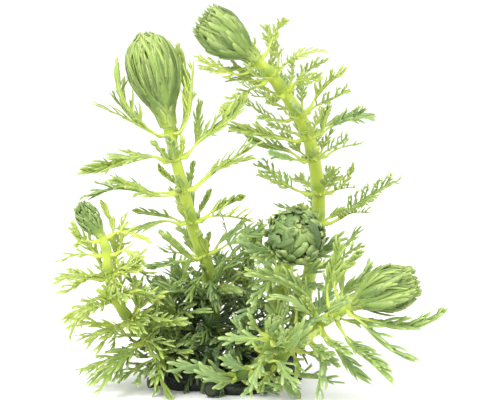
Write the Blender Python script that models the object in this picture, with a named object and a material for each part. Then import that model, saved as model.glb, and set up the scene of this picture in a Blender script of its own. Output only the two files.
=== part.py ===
"""Guyana milfoil: a clump of feathery bog-plant shoots rising from one low rootstock.

Each shoot is a jointed stem with a whorl of pinnate leaves at every stem node and a bud of
overlapping leaf scales at its tip. The origin is the middle of the rootstock's flat underside,
+X is to the right and +Y points away from the side that the clump is usually seen from.
The plan is worked out in millimetres and the meshes are made in metres.
"""

import math
from dataclasses import dataclass, field
from random import Random

import bmesh
import bpy
import numpy as np
from mathutils import Matrix, Vector

MM = 0.001

# Driving sizes of the plan, in millimetres
JOINT_GAP = 0.3  # clearance where one piece sits on or round another
LEAF_CLEARANCE = 1.55  # least distance between blades of different whorls
SISTER_CLEARANCE = 1.15  # least distance between blades of one whorl
STEM_CLEARANCE = 0.9
BUD_CLEARANCE = 0.7
ROOT_CLEARANCE = 0.8
GROUND_CLEARANCE = 0.45
PETIOLE_HALF_WIDTH = 0.42
PETIOLE_SPACING = math.radians(38)  # least angle between two petioles round the stem
PETIOLE_SAMPLES = 6  # the first sample points of a leaf, which are on its bare stalk
RIB_SHARE = 0.16  # half width that the blade's web adds to the petiole's, per half width
BLADE_KEEL = 0.62  # depth of the blade's rib below its upper face
KEEL_THINNING = 0.45  # share of that depth that is lost towards the tip
BLADE_START, BLADE_END = 0.26, 0.84  # where the lobes begin and end, along the leaf
LOBE_SWEEP = 0.62  # how far a lobe's tip points forward, per length of the lobe
RING_DEPTH = 0.8  # how far the swollen node stands out
RING_HALF_HEIGHT = 0.65
RING_STEP = math.radians(76)  # widest step between two cross sections of the ring
SHORT_LEAF = 15.0  # shorter leaves have two pairs of lobes, and longer ones three
LARGE_BUD = 4.0  # buds of a larger radius have more scales
SCALE_RISE = 0.045  # how far a scale's tip points up, per length of the bud
SCALE_VARIATION = 0.04  # how far a scale stands in or out by chance, per radius of the bud
ROOT_SWELL = (-0.09, 0.07)  # lumps on the rootstock, as shares of its radius
STUB_FLARE = 1.15  # a cut stub's foot is wider than its end
GROUND_SIZE = 60.0  # the block below the ground that cuts the rootstock flat
VIEWER = (0.0, -1.0, 0.25)  # from the clump to where it is usually seen from
PLAN_SEED = 7

# The rootstock: old creeping stems grown into one low knot, as centre and half axes
ROOT_LUMPS = (
    ((0.0, 1.0, 2.0), (14.0, 10.5, 6.0)),
    ((-10.5, -1.0, 2.4), (7.5, 6.5, 5.4)),
    ((12.0, 5.0, 3.0), (8.0, 7.0, 6.6)),
    ((3.0, -6.5, 1.6), (7.0, 5.5, 4.6)),
)
# Cut ends of old stems standing out of the rootstock: foot, end and radius
ROOT_STUBS = (
    ((-3.0, -8.0, 2.6), (-4.5, -15.0, 2.3), 2.0),
    ((-9.0, 4.0, 3.0), (-17.0, 9.5, 2.6), 1.7),
    ((9.0, 9.0, 3.0), (13.5, 16.5, 2.6), 1.8),
    ((-14.0, -3.0, 3.0), (-21.5, -6.0, 2.2), 1.5),
)


@dataclass
class Shoot:
    """One stem: its route from the rootstock to its bud, and the leaves at each of its nodes."""

    name: str
    route: list
    radius: tuple  # at the foot and at the top
    bud_tip: tuple
    bud_radius: float
    nodes: list  # distance of each whorl below the stem's top
    count: int  # leaves in a whorl
    length: float
    breadth: float  # half width of a blade as a share of its length
    rise: tuple  # angle between leaf and stem, at the top whorl and at the lowest
    bare_front: bool = False  # no leaf hangs across the stem on the side that is looked at
    tips: dict = field(default_factory=dict)  # leaf tips by whorl number


SHOOTS = (
    Shoot(
        "left_tall",
        [(-4, 3, 4), (-4, 4, 15), (-4.5, 4, 25), (-6, 3, 34), (-9, 3, 41.5), (-11, 2, 50),
         (-13, 1, 58), (-15, 0, 66), (-16, 0, 72)],
        (2.15, 1.4), (-22.5, -1, 96.5), 7.1,
        [3, 10, 19, 28, 38, 48, 59], 5, 17, 0.15, (38, 72), True,
        {1: [(-30, -3, 90), (-32, 5, 80), (-14, 4, 93), (-9, -6, 90), (-38, -2, 78)],
         2: [(-32, -4, 64), (-41, 2, 58), (5, -4, 80)],
         3: [(-31, -7, 57), (-38, 1, 51), (7, 5, 62), (8, -5, 67)],
         4: [(-31, -2, 44), (-26, 8, 47), (5, 4, 52), (7, -5, 46)],
         5: [(-18, -9, 44), (10, -5, 44), (4, 9, 44), (-22, -3, 33)],
         6: [(-20, -8, 27), (9, -6, 34), (-16, 14, 32), (4, -12, 28)],
         7: [(-17, -9, 18), (8, -6, 22), (-10, -12, 14), (3, 17, 20)]},
    ),
    Shoot(
        "right_tall",
        [(16, 8, 8), (21, 11, 22), (24, 14, 38), (25, 14, 50), (23.5, 13, 61), (21, 12, 70),
         (17, 10, 77), (12, 8, 84), (7, 6, 89)],
        (2.15, 1.7), (-8, 2, 101.5), 6.2,
        [1.5, 7, 13, 21, 28, 34, 44, 52, 64], 4, 16, 0.17, (45, 75), True,
        {1: [(16, 4, 100), (-8, 2, 89), (-8, 10, 86)],
         2: [(27, 6, 91), (-2, 2, 74), (19, -10, 90)],
         3: [(27, 12, 88), (25, -4, 85), (10, -6, 78)],
         4: [(32, 12, 85), (33, 4, 81), (3, 10, 78)],
         5: [(38, 10, 75), (41, 18, 72), (0, 8, 70)],
         6: [(36, 12, 65), (5, 17, 66)],
         7: [(34, 14, 59), (8, 8, 57), (8, 18, 59), (29, -2, 60)],
         8: [(46, 12, 55), (39, -2, 48), (11, 8, 44)],
         9: [(36, 6, 43), (30, 0, 39), (37, 16, 36)]},
    ),
    Shoot(
        "left_arching",
        [(-14, -2, 6), (-19, -4, 12), (-26, -5, 19), (-30, -6, 25), (-32, -6, 32),
         (-32.5, -5, 38), (-34, -4, 42)],
        (1.7, 1.25), (-40, -3, 50.5), 2.9,
        [1, 5.5, 11.5, 17.5, 24.5, 31.5, 37.5], 4, 14, 0.17, (42, 78), False,
        {1: [(-33, 1, 52), (-21, -6, 41), (-41, -10, 40), (-38, 8, 47)],
         2: [(-45, -6, 35), (-22, -10, 36), (-41, 5, 43)],
         3: [(-46, -4, 30), (-44, -14, 28), (-21, 4, 29), (-28, -18, 27)],
         4: [(-43, -8, 20), (-43, 4, 15), (-18, -12, 26)],
         5: [(-39, -12, 16), (-38, 3, 11), (-16, -16, 21)],
         6: [(-38, -12, 7), (-37, -2, 2), (-33, -18, 5)],
         7: [(-24, -14, 4), (-29, -10, 4), (-19, -20, 5)]},
    ),
    Shoot(
        "right_low",
        [(6, -8, 5), (11, -12, 7), (15, -15, 12), (19, -18, 18), (25, -21, 22),
         (29, -23, 24.7), (32.2, -24, 27.4)],
        (1.8, 1.45), (49.5, -28, 34.5), 6.0,
        [1.5, 5.5, 10.5, 16, 22, 29], 4, 16, 0.2, (48, 75), False,
        {1: [(57, -30, 27), (35, -26, 42), (48, -32, 13), (30, -16, 37)],
         2: [(29, -24, 44), (42, -34, 9), (38, -12, 36)],
         3: [(37, -28, 7), (11, -28, 30), (5, -22, 37), (32, -34, 16)],
         4: [(26, -30, 15), (23, -30, 4), (28, -4, 27)],
         5: [(27, -22, 10), (17, -24, 5), (19, -30, 29)],
         6: [(7, -22, 5), (11, -26, 6)]},
    ),
    Shoot(
        "centre",
        [(9, 0, 9), (13, -3, 22), (16, -6, 33), (17, -9, 39)],
        (1.7, 1.5), (19, -22, 48), 8.0,
        [1.5, 9, 17], 4, 14, 0.19, (62, 72), False,
        {1: [(24, -24, 37), (30, -14, 43), (9, -20, 41)],
         2: [(7, -16, 27), (28, -4, 35), (6, -6, 35)],
         3: [(3, -12, 21), (25, -12, 21)]},
    ),
    Shoot(
        "front_creeping",
        [(0, -10, 4), (5, -15, 7), (9, -19, 11), (11, -22, 16), (12, -24, 19)],
        (1.5, 1.2), (12.5, -27, 24.5), 2.0,
        [1, 7, 13.5, 20], 4, 14, 0.22, (50, 80), False,
        {1: [(6, -26, 25), (0, -30, 19), (16, -32, 22)],
         2: [(2, -20, 22), (17, -34, 9), (7, -30, 7)],
         3: [(11, -28, 3), (-1, -28, 13)],
         4: [(-13, -22, 10), (-7, -20, 14)]},
    ),
    Shoot(
        "left_short",
        [(-7, 2, 6), (-12, 3.5, 12), (-16, 3, 18), (-18, 2, 24)],
        (1.4, 1.15), (-19, 1, 30), 1.9,
        [0.8, 6.5, 13], 5, 14, 0.18, (50, 80), False,
    ),
    Shoot(
        "rear_short",
        [(5, 10, 7), (4, 14, 16), (5, 17, 25), (6, 19, 32)],
        (1.6, 1.3), (7, 21, 39.5), 2.3,
        [0.8, 7, 14.5, 21], 5, 15, 0.17, (42, 75), False,
    ),
)

# How a leaf is shifted until it hangs clear of the others: change of azimuth and rise in degrees,
# and of the length as a share
TRIALS = [
    (turn, lift, size)
    for size in (1.0, 0.9, 0.8, 0.7)
    for lift in (0, 8, -8, 16, -14)
    for turn in (0, 9, -9, 18, -18, 28, -28)
]


@dataclass
class Leaf:
    """One pinnate leaf: a midrib from base over a bend to the tip, and the way its face looks."""

    base: np.ndarray
    bend: np.ndarray
    tip: np.ndarray
    face: np.ndarray
    half_width: float
    length: float
    azimuth: float  # of the petiole's foot round the stem

    def point(self, s):
        return (1 - s) ** 2 * self.base + 2 * s * (1 - s) * self.bend + s * s * self.tip

    def frame(self, s):
        """Unit vectors along the midrib, to the leaf's side and out of its upper face."""
        along = unit((1 - s) * (self.bend - self.base) + s * (self.tip - self.bend))
        side = unit(np.cross(along, self.face))
        return along, side, np.cross(side, along)

    def samples(self):
        """Points on the midrib and near both edges, for telling how near two blades come."""
        found = []
        for s in np.linspace(0.2, 1.0, 8):
            centre = self.point(s)
            side = self.frame(s)[1]
            reach = 0.85 * self.half_width * blade_outline(s)
            found += [centre, centre + reach * side, centre - reach * side]
        return np.array(found)


def unit(vector):
    vector = np.asarray(vector, float)
    return vector / max(np.linalg.norm(vector), 1e-9)


def blade_outline(s):
    """Half width of the blade along the leaf, as a share of its widest place."""
    bare, widest = 0.2, 0.55
    if s <= bare:
        return 0.0
    if s < widest:
        return math.sin(0.5 * math.pi * (s - bare) / (widest - bare)) ** 0.6
    return math.cos(0.5 * math.pi * (s - widest) / (1 - widest) * 0.93) ** 0.6


def smooth_path(points, per_span=8):
    """Points of a smooth curve through the given ones."""
    p = np.array(points, float)
    p = np.vstack([2 * p[0] - p[1], p, 2 * p[-1] - p[-2]])
    rows = []
    for i in range(1, len(p) - 2):
        for t in np.arange(per_span) / per_span:
            a = 2 * p[i]
            b = p[i + 1] - p[i - 1]
            c = 2 * p[i - 1] - 5 * p[i] + 4 * p[i + 1] - p[i + 2]
            d = 3 * p[i] - p[i - 1] - 3 * p[i + 1] + p[i + 2]
            rows.append(0.5 * (a + b * t + c * t**2 + d * t**3))
    rows.append(p[-2])
    return np.array(rows)


def from_top(path, distance):
    """Place, direction and share of the length at a distance below the path's upper end."""
    back = path[::-1]
    steps = np.linalg.norm(np.diff(back, axis=0), axis=1)
    run = np.concatenate([[0], np.cumsum(steps)])
    place = np.array([np.interp(distance, run, back[:, k]) for k in range(3)])
    i = min(int(np.searchsorted(run, distance, side="right")), len(back) - 1)
    return place, unit(back[i - 1] - back[i]), 1 - distance / run[-1]


def stem_radius(shoot, share):
    return shoot.radius[0] + (shoot.radius[1] - shoot.radius[0]) * share


def ring_radii(radius):
    """Inner and outer radius of the swollen ring that carries a whorl. The flats between its
    sections are a gap clear of the stem."""
    inner = (radius + JOINT_GAP) / math.cos(RING_STEP / 2)
    return inner, inner + RING_DEPTH


def bud_spheres(shoot, path):
    """Balls that fill a bud, for keeping leaves out of it."""
    foot, tip = path[-1], np.array(shoot.bud_tip, float)
    return [
        (foot + (tip - foot) * t, shoot.bud_radius * bud_outline(t))
        for t in np.linspace(0.1, 0.95, 7)
    ]


def bud_outline(t):
    """Radius of a bud along its axis, as a share of its widest place."""
    return max(math.sin(math.pi * min(t, 1.0) ** 1.25), 0.0) ** 0.62


def stem_frame(axis):
    """Two directions across the stem: to the viewer's right, and away from the viewer."""
    away = unit(np.array([0, 1, 0]) - axis * axis[1])
    return np.cross(away, axis), away


def around(axis, azimuth):
    """The direction out of the stem at an angle round it."""
    right, away = stem_frame(axis)
    return right * math.cos(azimuth) + away * math.sin(azimuth)


def leaf_at(place, axis, start_radius, azimuth, tip, breadth, rng, facing):
    """A leaf from the stem node to a given tip, arched and turned a little by chance."""
    radial = around(axis, azimuth)
    base = place + radial * start_radius
    chord = tip - base
    length = float(np.linalg.norm(chord))
    start = unit(radial * 0.9 + axis * 0.5)
    bend = base + start * (0.38 + 0.1 * rng.random()) * length
    tangential = unit(np.cross(axis, radial))
    inward = unit(np.cross(tangential, chord))
    inward = inward if inward @ axis > 0 else -inward
    viewer = np.array(VIEWER)
    viewer = unit(viewer - chord * (viewer @ chord) / (chord @ chord))
    viewer = viewer if viewer @ inward > -0.2 else -viewer
    face = unit((1 - facing) * inward + facing * viewer)
    return Leaf(base, bend, tip, face, breadth * length, length, azimuth)


def plan_clump():
    """The smooth path of each stem, and the leaves of each whorl, all clear of one another."""
    rng = Random(PLAN_SEED)
    paths = {shoot.name: smooth_path(shoot.route) for shoot in SHOOTS}
    stem_rows = []
    bud_rows = []
    for shoot in SHOOTS:
        path = paths[shoot.name]
        for i, place in enumerate(path):
            stem_rows.append((shoot.name, place, stem_radius(shoot, i / (len(path) - 1))))
        bud_rows += [(shoot.name, *ball) for ball in bud_spheres(shoot, path)]
    taken = np.zeros((0, 3))
    taken_whorl = np.zeros(0, int)
    whorls = []

    def is_clear(leaf, shoot, whorl_id):
        points = leaf.samples()
        if points[:, 2].min() < GROUND_CLEARANCE:
            return False
        outer = points[PETIOLE_SAMPLES:]
        for centre, axes in ROOT_LUMPS:
            scaled = (outer - centre) / (np.array(axes) + ROOT_CLEARANCE)
            if ((scaled**2).sum(1) < 1).any():
                return False
        for rows, margin in ((stem_rows, STEM_CLEARANCE), (bud_rows, BUD_CLEARANCE)):
            places = np.array([row[1] for row in rows])
            radii = np.array([row[2] for row in rows])
            own = np.array([row[0] == shoot.name for row in rows])
            near = np.linalg.norm(points[:, None] - places[None], axis=2) - radii - margin
            if (near[:, ~own] < 0).any() or (near[PETIOLE_SAMPLES:, own] < 0).any():
                return False
        for others, ours, least in (
            (taken[taken_whorl != whorl_id], points, LEAF_CLEARANCE),
            (taken[taken_whorl == whorl_id], outer, SISTER_CLEARANCE),
        ):
            if len(others):
                gaps = np.linalg.norm(ours[:, None] - others[None], axis=2)
                if gaps.min() < least:
                    return False
        return True

    def try_place(shoot, whorl_id, place, axis, start, tip, facing):
        """The nearest clear leaf to the wanted one, or none."""
        right, away = stem_frame(axis)
        reach = tip - place
        up = reach @ axis
        flat = reach - axis * up
        azimuth = math.atan2(flat @ away, flat @ right)
        rise = math.atan2(np.linalg.norm(flat), up)
        for turn, lift, size in TRIALS:
            angle = azimuth + math.radians(turn)
            foot = free_azimuth(angle, [leaf.azimuth for leaf in whorls[whorl_id]["leaves"]])
            if foot is None:
                continue
            slope = rise + math.radians(lift)
            way = around(axis, angle) * math.sin(slope) + axis * math.cos(slope)
            aim = place + way * np.linalg.norm(reach) * size
            leaf = leaf_at(place, axis, start, foot, aim, shoot.breadth, rng, facing)
            if is_clear(leaf, shoot, whorl_id):
                return leaf
        return None

    for shoot in SHOOTS:
        path = paths[shoot.name]
        for number, distance in enumerate(shoot.nodes, 1):
            place, axis, share = from_top(path, distance)
            whorls.append(
                {"shoot": shoot, "number": number, "place": place, "axis": axis,
                 "radius": stem_radius(shoot, share), "leaves": []}
            )

    def add(whorl_id, tip, facing):
        nonlocal taken, taken_whorl
        whorl = whorls[whorl_id]
        start = ring_radii(whorl["radius"])[1]
        leaf = try_place(
            whorl["shoot"], whorl_id, whorl["place"], whorl["axis"], start, tip, facing
        )
        if leaf is not None:
            whorl["leaves"].append(leaf)
            points = leaf.samples()
            taken = np.vstack([taken, points])
            taken_whorl = np.concatenate([taken_whorl, np.full(len(points), whorl_id)])

    # Leaves whose tips are known
    for whorl_id, whorl in enumerate(whorls):
        for tip in whorl["shoot"].tips.get(whorl["number"], []):
            add(whorl_id, np.array(tip, float), 0.45 + 0.3 * rng.random())
    # The rest of each whorl stands in the widest gaps that are left
    for whorl_id, whorl in enumerate(whorls):
        shoot = whorl["shoot"]
        right, away = stem_frame(whorl["axis"])
        used = []
        for leaf in whorl["leaves"]:
            out = leaf.tip - whorl["place"]
            used.append(math.atan2(out @ away, out @ right))
        if shoot.bare_front:
            used.append(-math.pi / 2)
        missing = shoot.count - len(whorl["leaves"])
        for _ in range(missing):
            angle = widest_gap(used) if used else rng.uniform(0, 2 * math.pi)
            used.append(angle)
            share = (whorl["number"] - 1) / max(len(shoot.nodes) - 1, 1)
            slope = math.radians(
                shoot.rise[0] + (shoot.rise[1] - shoot.rise[0]) * share + rng.uniform(-6, 6)
            )
            radial = around(whorl["axis"], angle)
            way = radial * math.sin(slope) + whorl["axis"] * math.cos(slope)
            length = shoot.length * rng.uniform(0.8, 1.1)
            add(whorl_id, whorl["place"] + way * length, 0.35 * rng.random())
    return paths, whorls


def free_azimuth(wanted, used):
    """The nearest angle round the stem where a petiole still fits, within a quarter turn."""
    for shift in np.radians([0, 8, -8, 16, -16, 24, -24, 32, -32, 40, -40]):
        angle = (wanted + shift) % (2 * math.pi)
        apart = [abs((angle - other + math.pi) % (2 * math.pi) - math.pi) for other in used]
        if not apart or min(apart) >= PETIOLE_SPACING:
            return angle
    return None


def widest_gap(used):
    """The middle of the widest gap between the angles."""
    turns = sorted(angle % (2 * math.pi) for angle in used)
    gaps = [
        ((after - before), before)
        for before, after in zip(turns, turns[1:] + [turns[0] + 2 * math.pi])
    ]
    gap, before = max(gaps)
    return before + gap / 2


# Materials

def make_material(name, colour, roughness):
    material = bpy.data.materials.new(name)
    material.use_nodes = True
    shader = material.node_tree.nodes["Principled BSDF"]
    shader.inputs["Base Color"].default_value = (*colour, 1)
    shader.inputs["Roughness"].default_value = roughness
    shader.inputs["Metallic"].default_value = 0
    return material


def make_materials():
    return {
        "leaf_green": make_material("leaf_green", (0.20, 0.36, 0.09), 0.55),
        "stem_green": make_material("stem_green", (0.48, 0.60, 0.10), 0.45),
        "bud_green": make_material("bud_green", (0.26, 0.42, 0.12), 0.55),
        "root_brown": make_material("root_brown", (0.045, 0.055, 0.02), 0.8),
    }


# Pieces

def new_object(name, mesh, collection, material=None):
    obj = bpy.data.objects.new(name, mesh)
    collection.objects.link(obj)
    if material is not None:
        mesh.materials.append(material)
    return obj


def rib_half_width(leaf, s):
    return PETIOLE_HALF_WIDTH + RIB_SHARE * leaf.half_width * blade_outline(s)


def add_blade(bm, leaf, foot):
    """A pinnate blade lofted along its midrib from the two outer and two lower points of its
    foot: flat above, ribbed below, with a lobe on each side of every station and one at the tip."""
    pairs = 2 if leaf.length < SHORT_LEAF else 3
    stations = np.linspace(BLADE_START, BLADE_END, pairs + 1)

    def vertex(s, across=0.0, below=0.0, forward=0.0):
        along, side, up = leaf.frame(s)
        place = leaf.point(s) + across * side + forward * along - below * up
        return bm.verts.new(place * MM)

    def keel_at(s):
        return vertex(s, below=BLADE_KEEL * (1 - KEEL_THINNING * s))

    left = [vertex(s, -rib_half_width(leaf, s)) for s in stations]
    right = [vertex(s, rib_half_width(leaf, s)) for s in stations]
    below = keel_at(BLADE_START)
    foot_left, foot_right, under_left, under_right = foot
    bm.faces.new((foot_left, left[0], right[0], foot_right))
    bm.faces.new((foot_left, under_left, below))
    bm.faces.new((under_left, under_right, below))
    bm.faces.new((under_right, foot_right, below))
    bm.faces.new((foot_left, below, left[0]))
    bm.faces.new((foot_right, right[0], below))
    for i, (s, after) in enumerate(zip(stations, stations[1:])):
        middle = (s + after) / 2
        reach = leaf.half_width * blade_outline(middle)
        keel = keel_at(middle)
        lobe_left = vertex(middle, across=-reach, forward=LOBE_SWEEP * reach)
        lobe_right = vertex(middle, across=reach, forward=LOBE_SWEEP * reach)
        bm.faces.new((left[i], left[i + 1], right[i + 1], right[i]))
        bm.faces.new((left[i], lobe_left, left[i + 1]))
        bm.faces.new((right[i], right[i + 1], lobe_right))
        bm.faces.new((left[i], keel, lobe_left))
        bm.faces.new((keel, left[i + 1], lobe_left))
        bm.faces.new((right[i], lobe_right, keel))
        bm.faces.new((keel, lobe_right, right[i + 1]))
        bm.faces.new((below, keel, left[i]))
        bm.faces.new((below, right[i], keel))
        below = keel
    tip = vertex(1.0)
    bm.faces.new((left[-1], tip, right[-1]))
    bm.faces.new((below, tip, left[-1]))
    bm.faces.new((below, right[-1], tip))


def ring_sections(whorl):
    """The angles of the ring's cross sections in order, each with the leaf that starts there."""
    outer = ring_radii(whorl["radius"])[1]
    half = PETIOLE_HALF_WIDTH / outer
    leaves = sorted(whorl["leaves"], key=lambda leaf: leaf.azimuth)
    sections = []
    for leaf, after in zip(leaves, leaves[1:] + leaves[:1]):
        sections += [(leaf.azimuth - half, leaf), (leaf.azimuth + half, None)]
        gap = (after.azimuth - leaf.azimuth) % (2 * math.pi) or 2 * math.pi
        free = gap - 2 * half
        extra = math.ceil(free / RING_STEP) - 1
        for i in range(extra):
            sections.append((leaf.azimuth + half + free * (i + 1) / (extra + 1), None))
    return sections


def make_whorl(whorl, parts, material):
    """The swollen stem node with its leaves grown out of it, as one solid."""
    name = f"{whorl['shoot'].name}_whorl_{whorl['number']}"
    inner, outer = ring_radii(whorl["radius"])
    place, axis = whorl["place"], whorl["axis"]
    bm = bmesh.new()
    sections = []
    for angle, leaf in ring_sections(whorl):
        out = around(axis, angle)
        corners = [
            bm.verts.new((place + out * radius + axis * height) * MM)
            for radius, height in (
                (inner, RING_HALF_HEIGHT), (outer, 0), (inner, -RING_HALF_HEIGHT)
            )
        ]
        sections.append((corners, leaf))
    for (one, leaf), (two, _) in zip(sections, sections[1:] + sections[:1]):
        top, rim, bottom = one
        next_top, next_rim, next_bottom = two
        bm.faces.new((top, next_top, next_rim, rim))
        bm.faces.new((top, bottom, next_bottom, next_top))
        if leaf is None:
            bm.faces.new((rim, next_rim, next_bottom, bottom))
        else:
            side = leaf.frame(0)[1]
            turned = (np.array(next_rim.co) - np.array(rim.co)) @ side < 0
            foot = (next_rim, rim, next_bottom, bottom) if turned else (
                rim, next_rim, bottom, next_bottom
            )
            add_blade(bm, leaf, foot)
    bmesh.ops.triangulate(bm, faces=bm.faces[:])
    bmesh.ops.recalc_face_normals(bm, faces=bm.faces[:])
    mesh = bpy.data.meshes.new(name)
    bm.to_mesh(mesh)
    bm.free()
    return new_object(name, mesh, parts, material)


def placed(place, axis):
    """The matrix that stands a piece made along +Z on a place in the plan, along an axis."""
    turn = Vector(axis).to_track_quat("Z", "Y").to_matrix().to_4x4()
    return Matrix.Translation(Vector(place) * MM) @ turn


def make_tube(name, path, radii, collection, material=None):
    """A tapering round tube along a path, as a mesh with closed ends."""
    curve = bpy.data.curves.new(name, "CURVE")
    curve.dimensions = "3D"
    curve.bevel_depth = MM
    curve.bevel_resolution = 1
    curve.use_fill_caps = True
    curve.twist_mode = "MINIMUM"
    spline = curve.splines.new("POLY")
    spline.points.add(len(path) - 1)
    for point, place, radius in zip(spline.points, path, radii):
        point.co = (*(np.asarray(place) * MM), 1)
        point.radius = radius
    guide = bpy.data.objects.new(name + "_guide", curve)
    collection.objects.link(guide)
    bpy.context.view_layer.update()
    graph = bpy.context.evaluated_depsgraph_get()
    mesh = bpy.data.meshes.new_from_object(guide.evaluated_get(graph))
    bpy.data.objects.remove(guide)
    bm = bmesh.new()
    bm.from_mesh(mesh)
    bmesh.ops.remove_doubles(bm, verts=bm.verts[:], dist=0.00001)
    bmesh.ops.recalc_face_normals(bm, faces=bm.faces[:])
    bm.to_mesh(mesh)
    bm.free()
    mesh.shade_smooth()
    return new_object(name, mesh, collection, material)


def stem_stations(shoot, path):
    """Places and radii along the stem, thinned to what its bends need."""
    shares = np.linspace(0, 1, 9 if len(shoot.route) > 4 else 6)
    index = shares * (len(path) - 1)
    places = np.array([np.interp(index, np.arange(len(path)), path[:, k]) for k in range(3)]).T
    return places, [stem_radius(shoot, share) for share in shares]


def make_stem(shoot, path, parts, cutters, material):
    """The stem, and the cutter that sinks its foot into the rootstock with a little room."""
    places, radii = stem_stations(shoot, path)
    make_tube(f"{shoot.name}_stem", places, radii, parts, material)
    down = unit(places[0] - places[1])
    socket_path = np.vstack([places[0] + down * JOINT_GAP, places[1:3]])
    socket_radii = [radius + JOINT_GAP for radius in radii[:3]]
    return make_tube(f"{shoot.name}_socket", socket_path, socket_radii, cutters)


def bud_rings(tiers):
    """Height, radius share of the scale tips and of the notches between them, and which columns
    have tips, for each ring of a bud from its foot up."""
    rings = []
    for tier in range(tiers):
        t = (tier + 1) / (tiers + 0.75)
        rings.append((t, 1.0, 0.88, tier % 2))
        if tier < tiers - 1:
            rings.append((t + 0.012, 0.84, 0.84, 0))
    return rings


def make_bud(shoot, path, parts, material):
    """An egg of overlapping leaf scales: a ball whose rings are moved so that each tier of scale
    tips stands out over a notch, with the tips of one tier between those of the next."""
    foot = path[-1]
    tip = np.array(shoot.bud_tip, float)
    axis = unit(tip - foot)
    length = np.linalg.norm(tip - foot) - JOINT_GAP
    large = shoot.bud_radius > LARGE_BUD
    segments = 12 if large else 8
    rings = bud_rings(4 if large else 2)
    rng = Random(shoot.name)
    bm = bmesh.new()
    bmesh.ops.create_uvsphere(bm, u_segments=segments, v_segments=len(rings) + 1, radius=1)
    for vert in bm.verts:
        level = round(math.acos(max(-1.0, min(1.0, vert.co.z))) / math.pi * (len(rings) + 1))
        turn = math.atan2(vert.co.y, vert.co.x)
        column = round(turn / (2 * math.pi) * segments) % segments
        if level in (0, len(rings) + 1):
            vert.co = Vector((0, 0, length * MM * (level > 0)))
            continue
        t, tip_share, notch_share, start = rings[level - 1]
        is_tip = (column + start) % 2 == 0
        radius = shoot.bud_radius * bud_outline(t) * (tip_share if is_tip else notch_share)
        radius *= 1 + rng.uniform(-SCALE_VARIATION, SCALE_VARIATION)
        height = length * (t + (SCALE_RISE if is_tip and tip_share == 1.0 else 0))
        vert.co = Vector((radius * math.cos(turn), radius * math.sin(turn), height)) * MM
    bmesh.ops.recalc_face_normals(bm, faces=bm.faces[:])
    mesh = bpy.data.meshes.new(f"{shoot.name}_bud")
    bm.to_mesh(mesh)
    bm.free()
    mesh.transform(placed(foot + axis * JOINT_GAP, axis))
    return new_object(f"{shoot.name}_bud", mesh, parts, material)


def lump_mesh(name, centre, axes, rng):
    """A knobbly egg of old stem tissue."""
    bm = bmesh.new()
    bmesh.ops.create_icosphere(bm, subdivisions=2, radius=1)
    for vert in bm.verts:
        swell = 1 + rng.uniform(*ROOT_SWELL)
        vert.co = Vector([(c + a * x * swell) * MM for c, a, x in zip(centre, axes, vert.co)])
    mesh = bpy.data.meshes.new(name)
    bm.to_mesh(mesh)
    bm.free()
    return mesh


def make_rootstock(sockets, parts, cutters, material):
    """The low knot of old stems, flat below, with cut stubs, and holes for the living stems."""
    rng = Random(PLAN_SEED)
    first, *others = [
        lump_mesh(f"root_lump_{i}", centre, axes, rng)
        for i, (centre, axes) in enumerate(ROOT_LUMPS)
    ]
    root = new_object("rootstock", first, parts, material)
    helpers = [new_object(mesh.name, mesh, cutters) for mesh in others]
    for i, (foot, end, radius) in enumerate(ROOT_STUBS):
        radii = [radius * STUB_FLARE, radius]
        helpers.append(make_tube(f"root_stub_{i}", np.array([foot, end]), radii, cutters))
    depth = GROUND_SIZE / 2 * MM
    bpy.ops.mesh.primitive_cube_add(size=GROUND_SIZE * MM, location=(0, 0, -depth))
    ground = bpy.context.active_object
    ground.name = "ground_cut"
    for collection in ground.users_collection:
        collection.objects.unlink(ground)
    cutters.objects.link(ground)
    for helper in helpers:
        add_boolean(root, helper, "UNION")
    for helper in (ground, *sockets):
        add_boolean(root, helper, "DIFFERENCE")


def add_boolean(obj, other, operation):
    other.hide_render = True
    other.display_type = "WIRE"
    modifier = obj.modifiers.new(other.name, "BOOLEAN")
    modifier.operation = operation
    modifier.object = other


def main():
    for obj in list(bpy.data.objects):
        bpy.data.objects.remove(obj)
    parts = bpy.data.collections.new("guyana_milfoil")
    cutters = bpy.data.collections.new("helpers")
    cutters.hide_render = True
    for collection in (parts, cutters):
        bpy.context.scene.collection.children.link(collection)
    materials = make_materials()
    paths, whorls = plan_clump()
    sockets = []
    for shoot in SHOOTS:
        path = paths[shoot.name]
        sockets.append(make_stem(shoot, path, parts, cutters, materials["stem_green"]))
        make_bud(shoot, path, parts, materials["bud_green"])
    for whorl in whorls:
        make_whorl(whorl, parts, materials["leaf_green"])
    make_rootstock(sockets, parts, cutters, materials["root_brown"])
    leaves = sum(len(whorl["leaves"]) for whorl in whorls)
    print(f"{len(SHOOTS)} shoots, {len(whorls)} whorls, {leaves} leaves")


main()
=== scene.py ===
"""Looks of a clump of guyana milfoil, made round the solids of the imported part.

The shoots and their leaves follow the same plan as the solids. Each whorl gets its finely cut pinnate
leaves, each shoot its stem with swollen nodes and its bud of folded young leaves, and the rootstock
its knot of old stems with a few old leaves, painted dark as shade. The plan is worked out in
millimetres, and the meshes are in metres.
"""

import functools
import math
from dataclasses import dataclass, field
from random import Random

import bmesh
import bpy
import numpy as np
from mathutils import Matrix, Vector, noise


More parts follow.
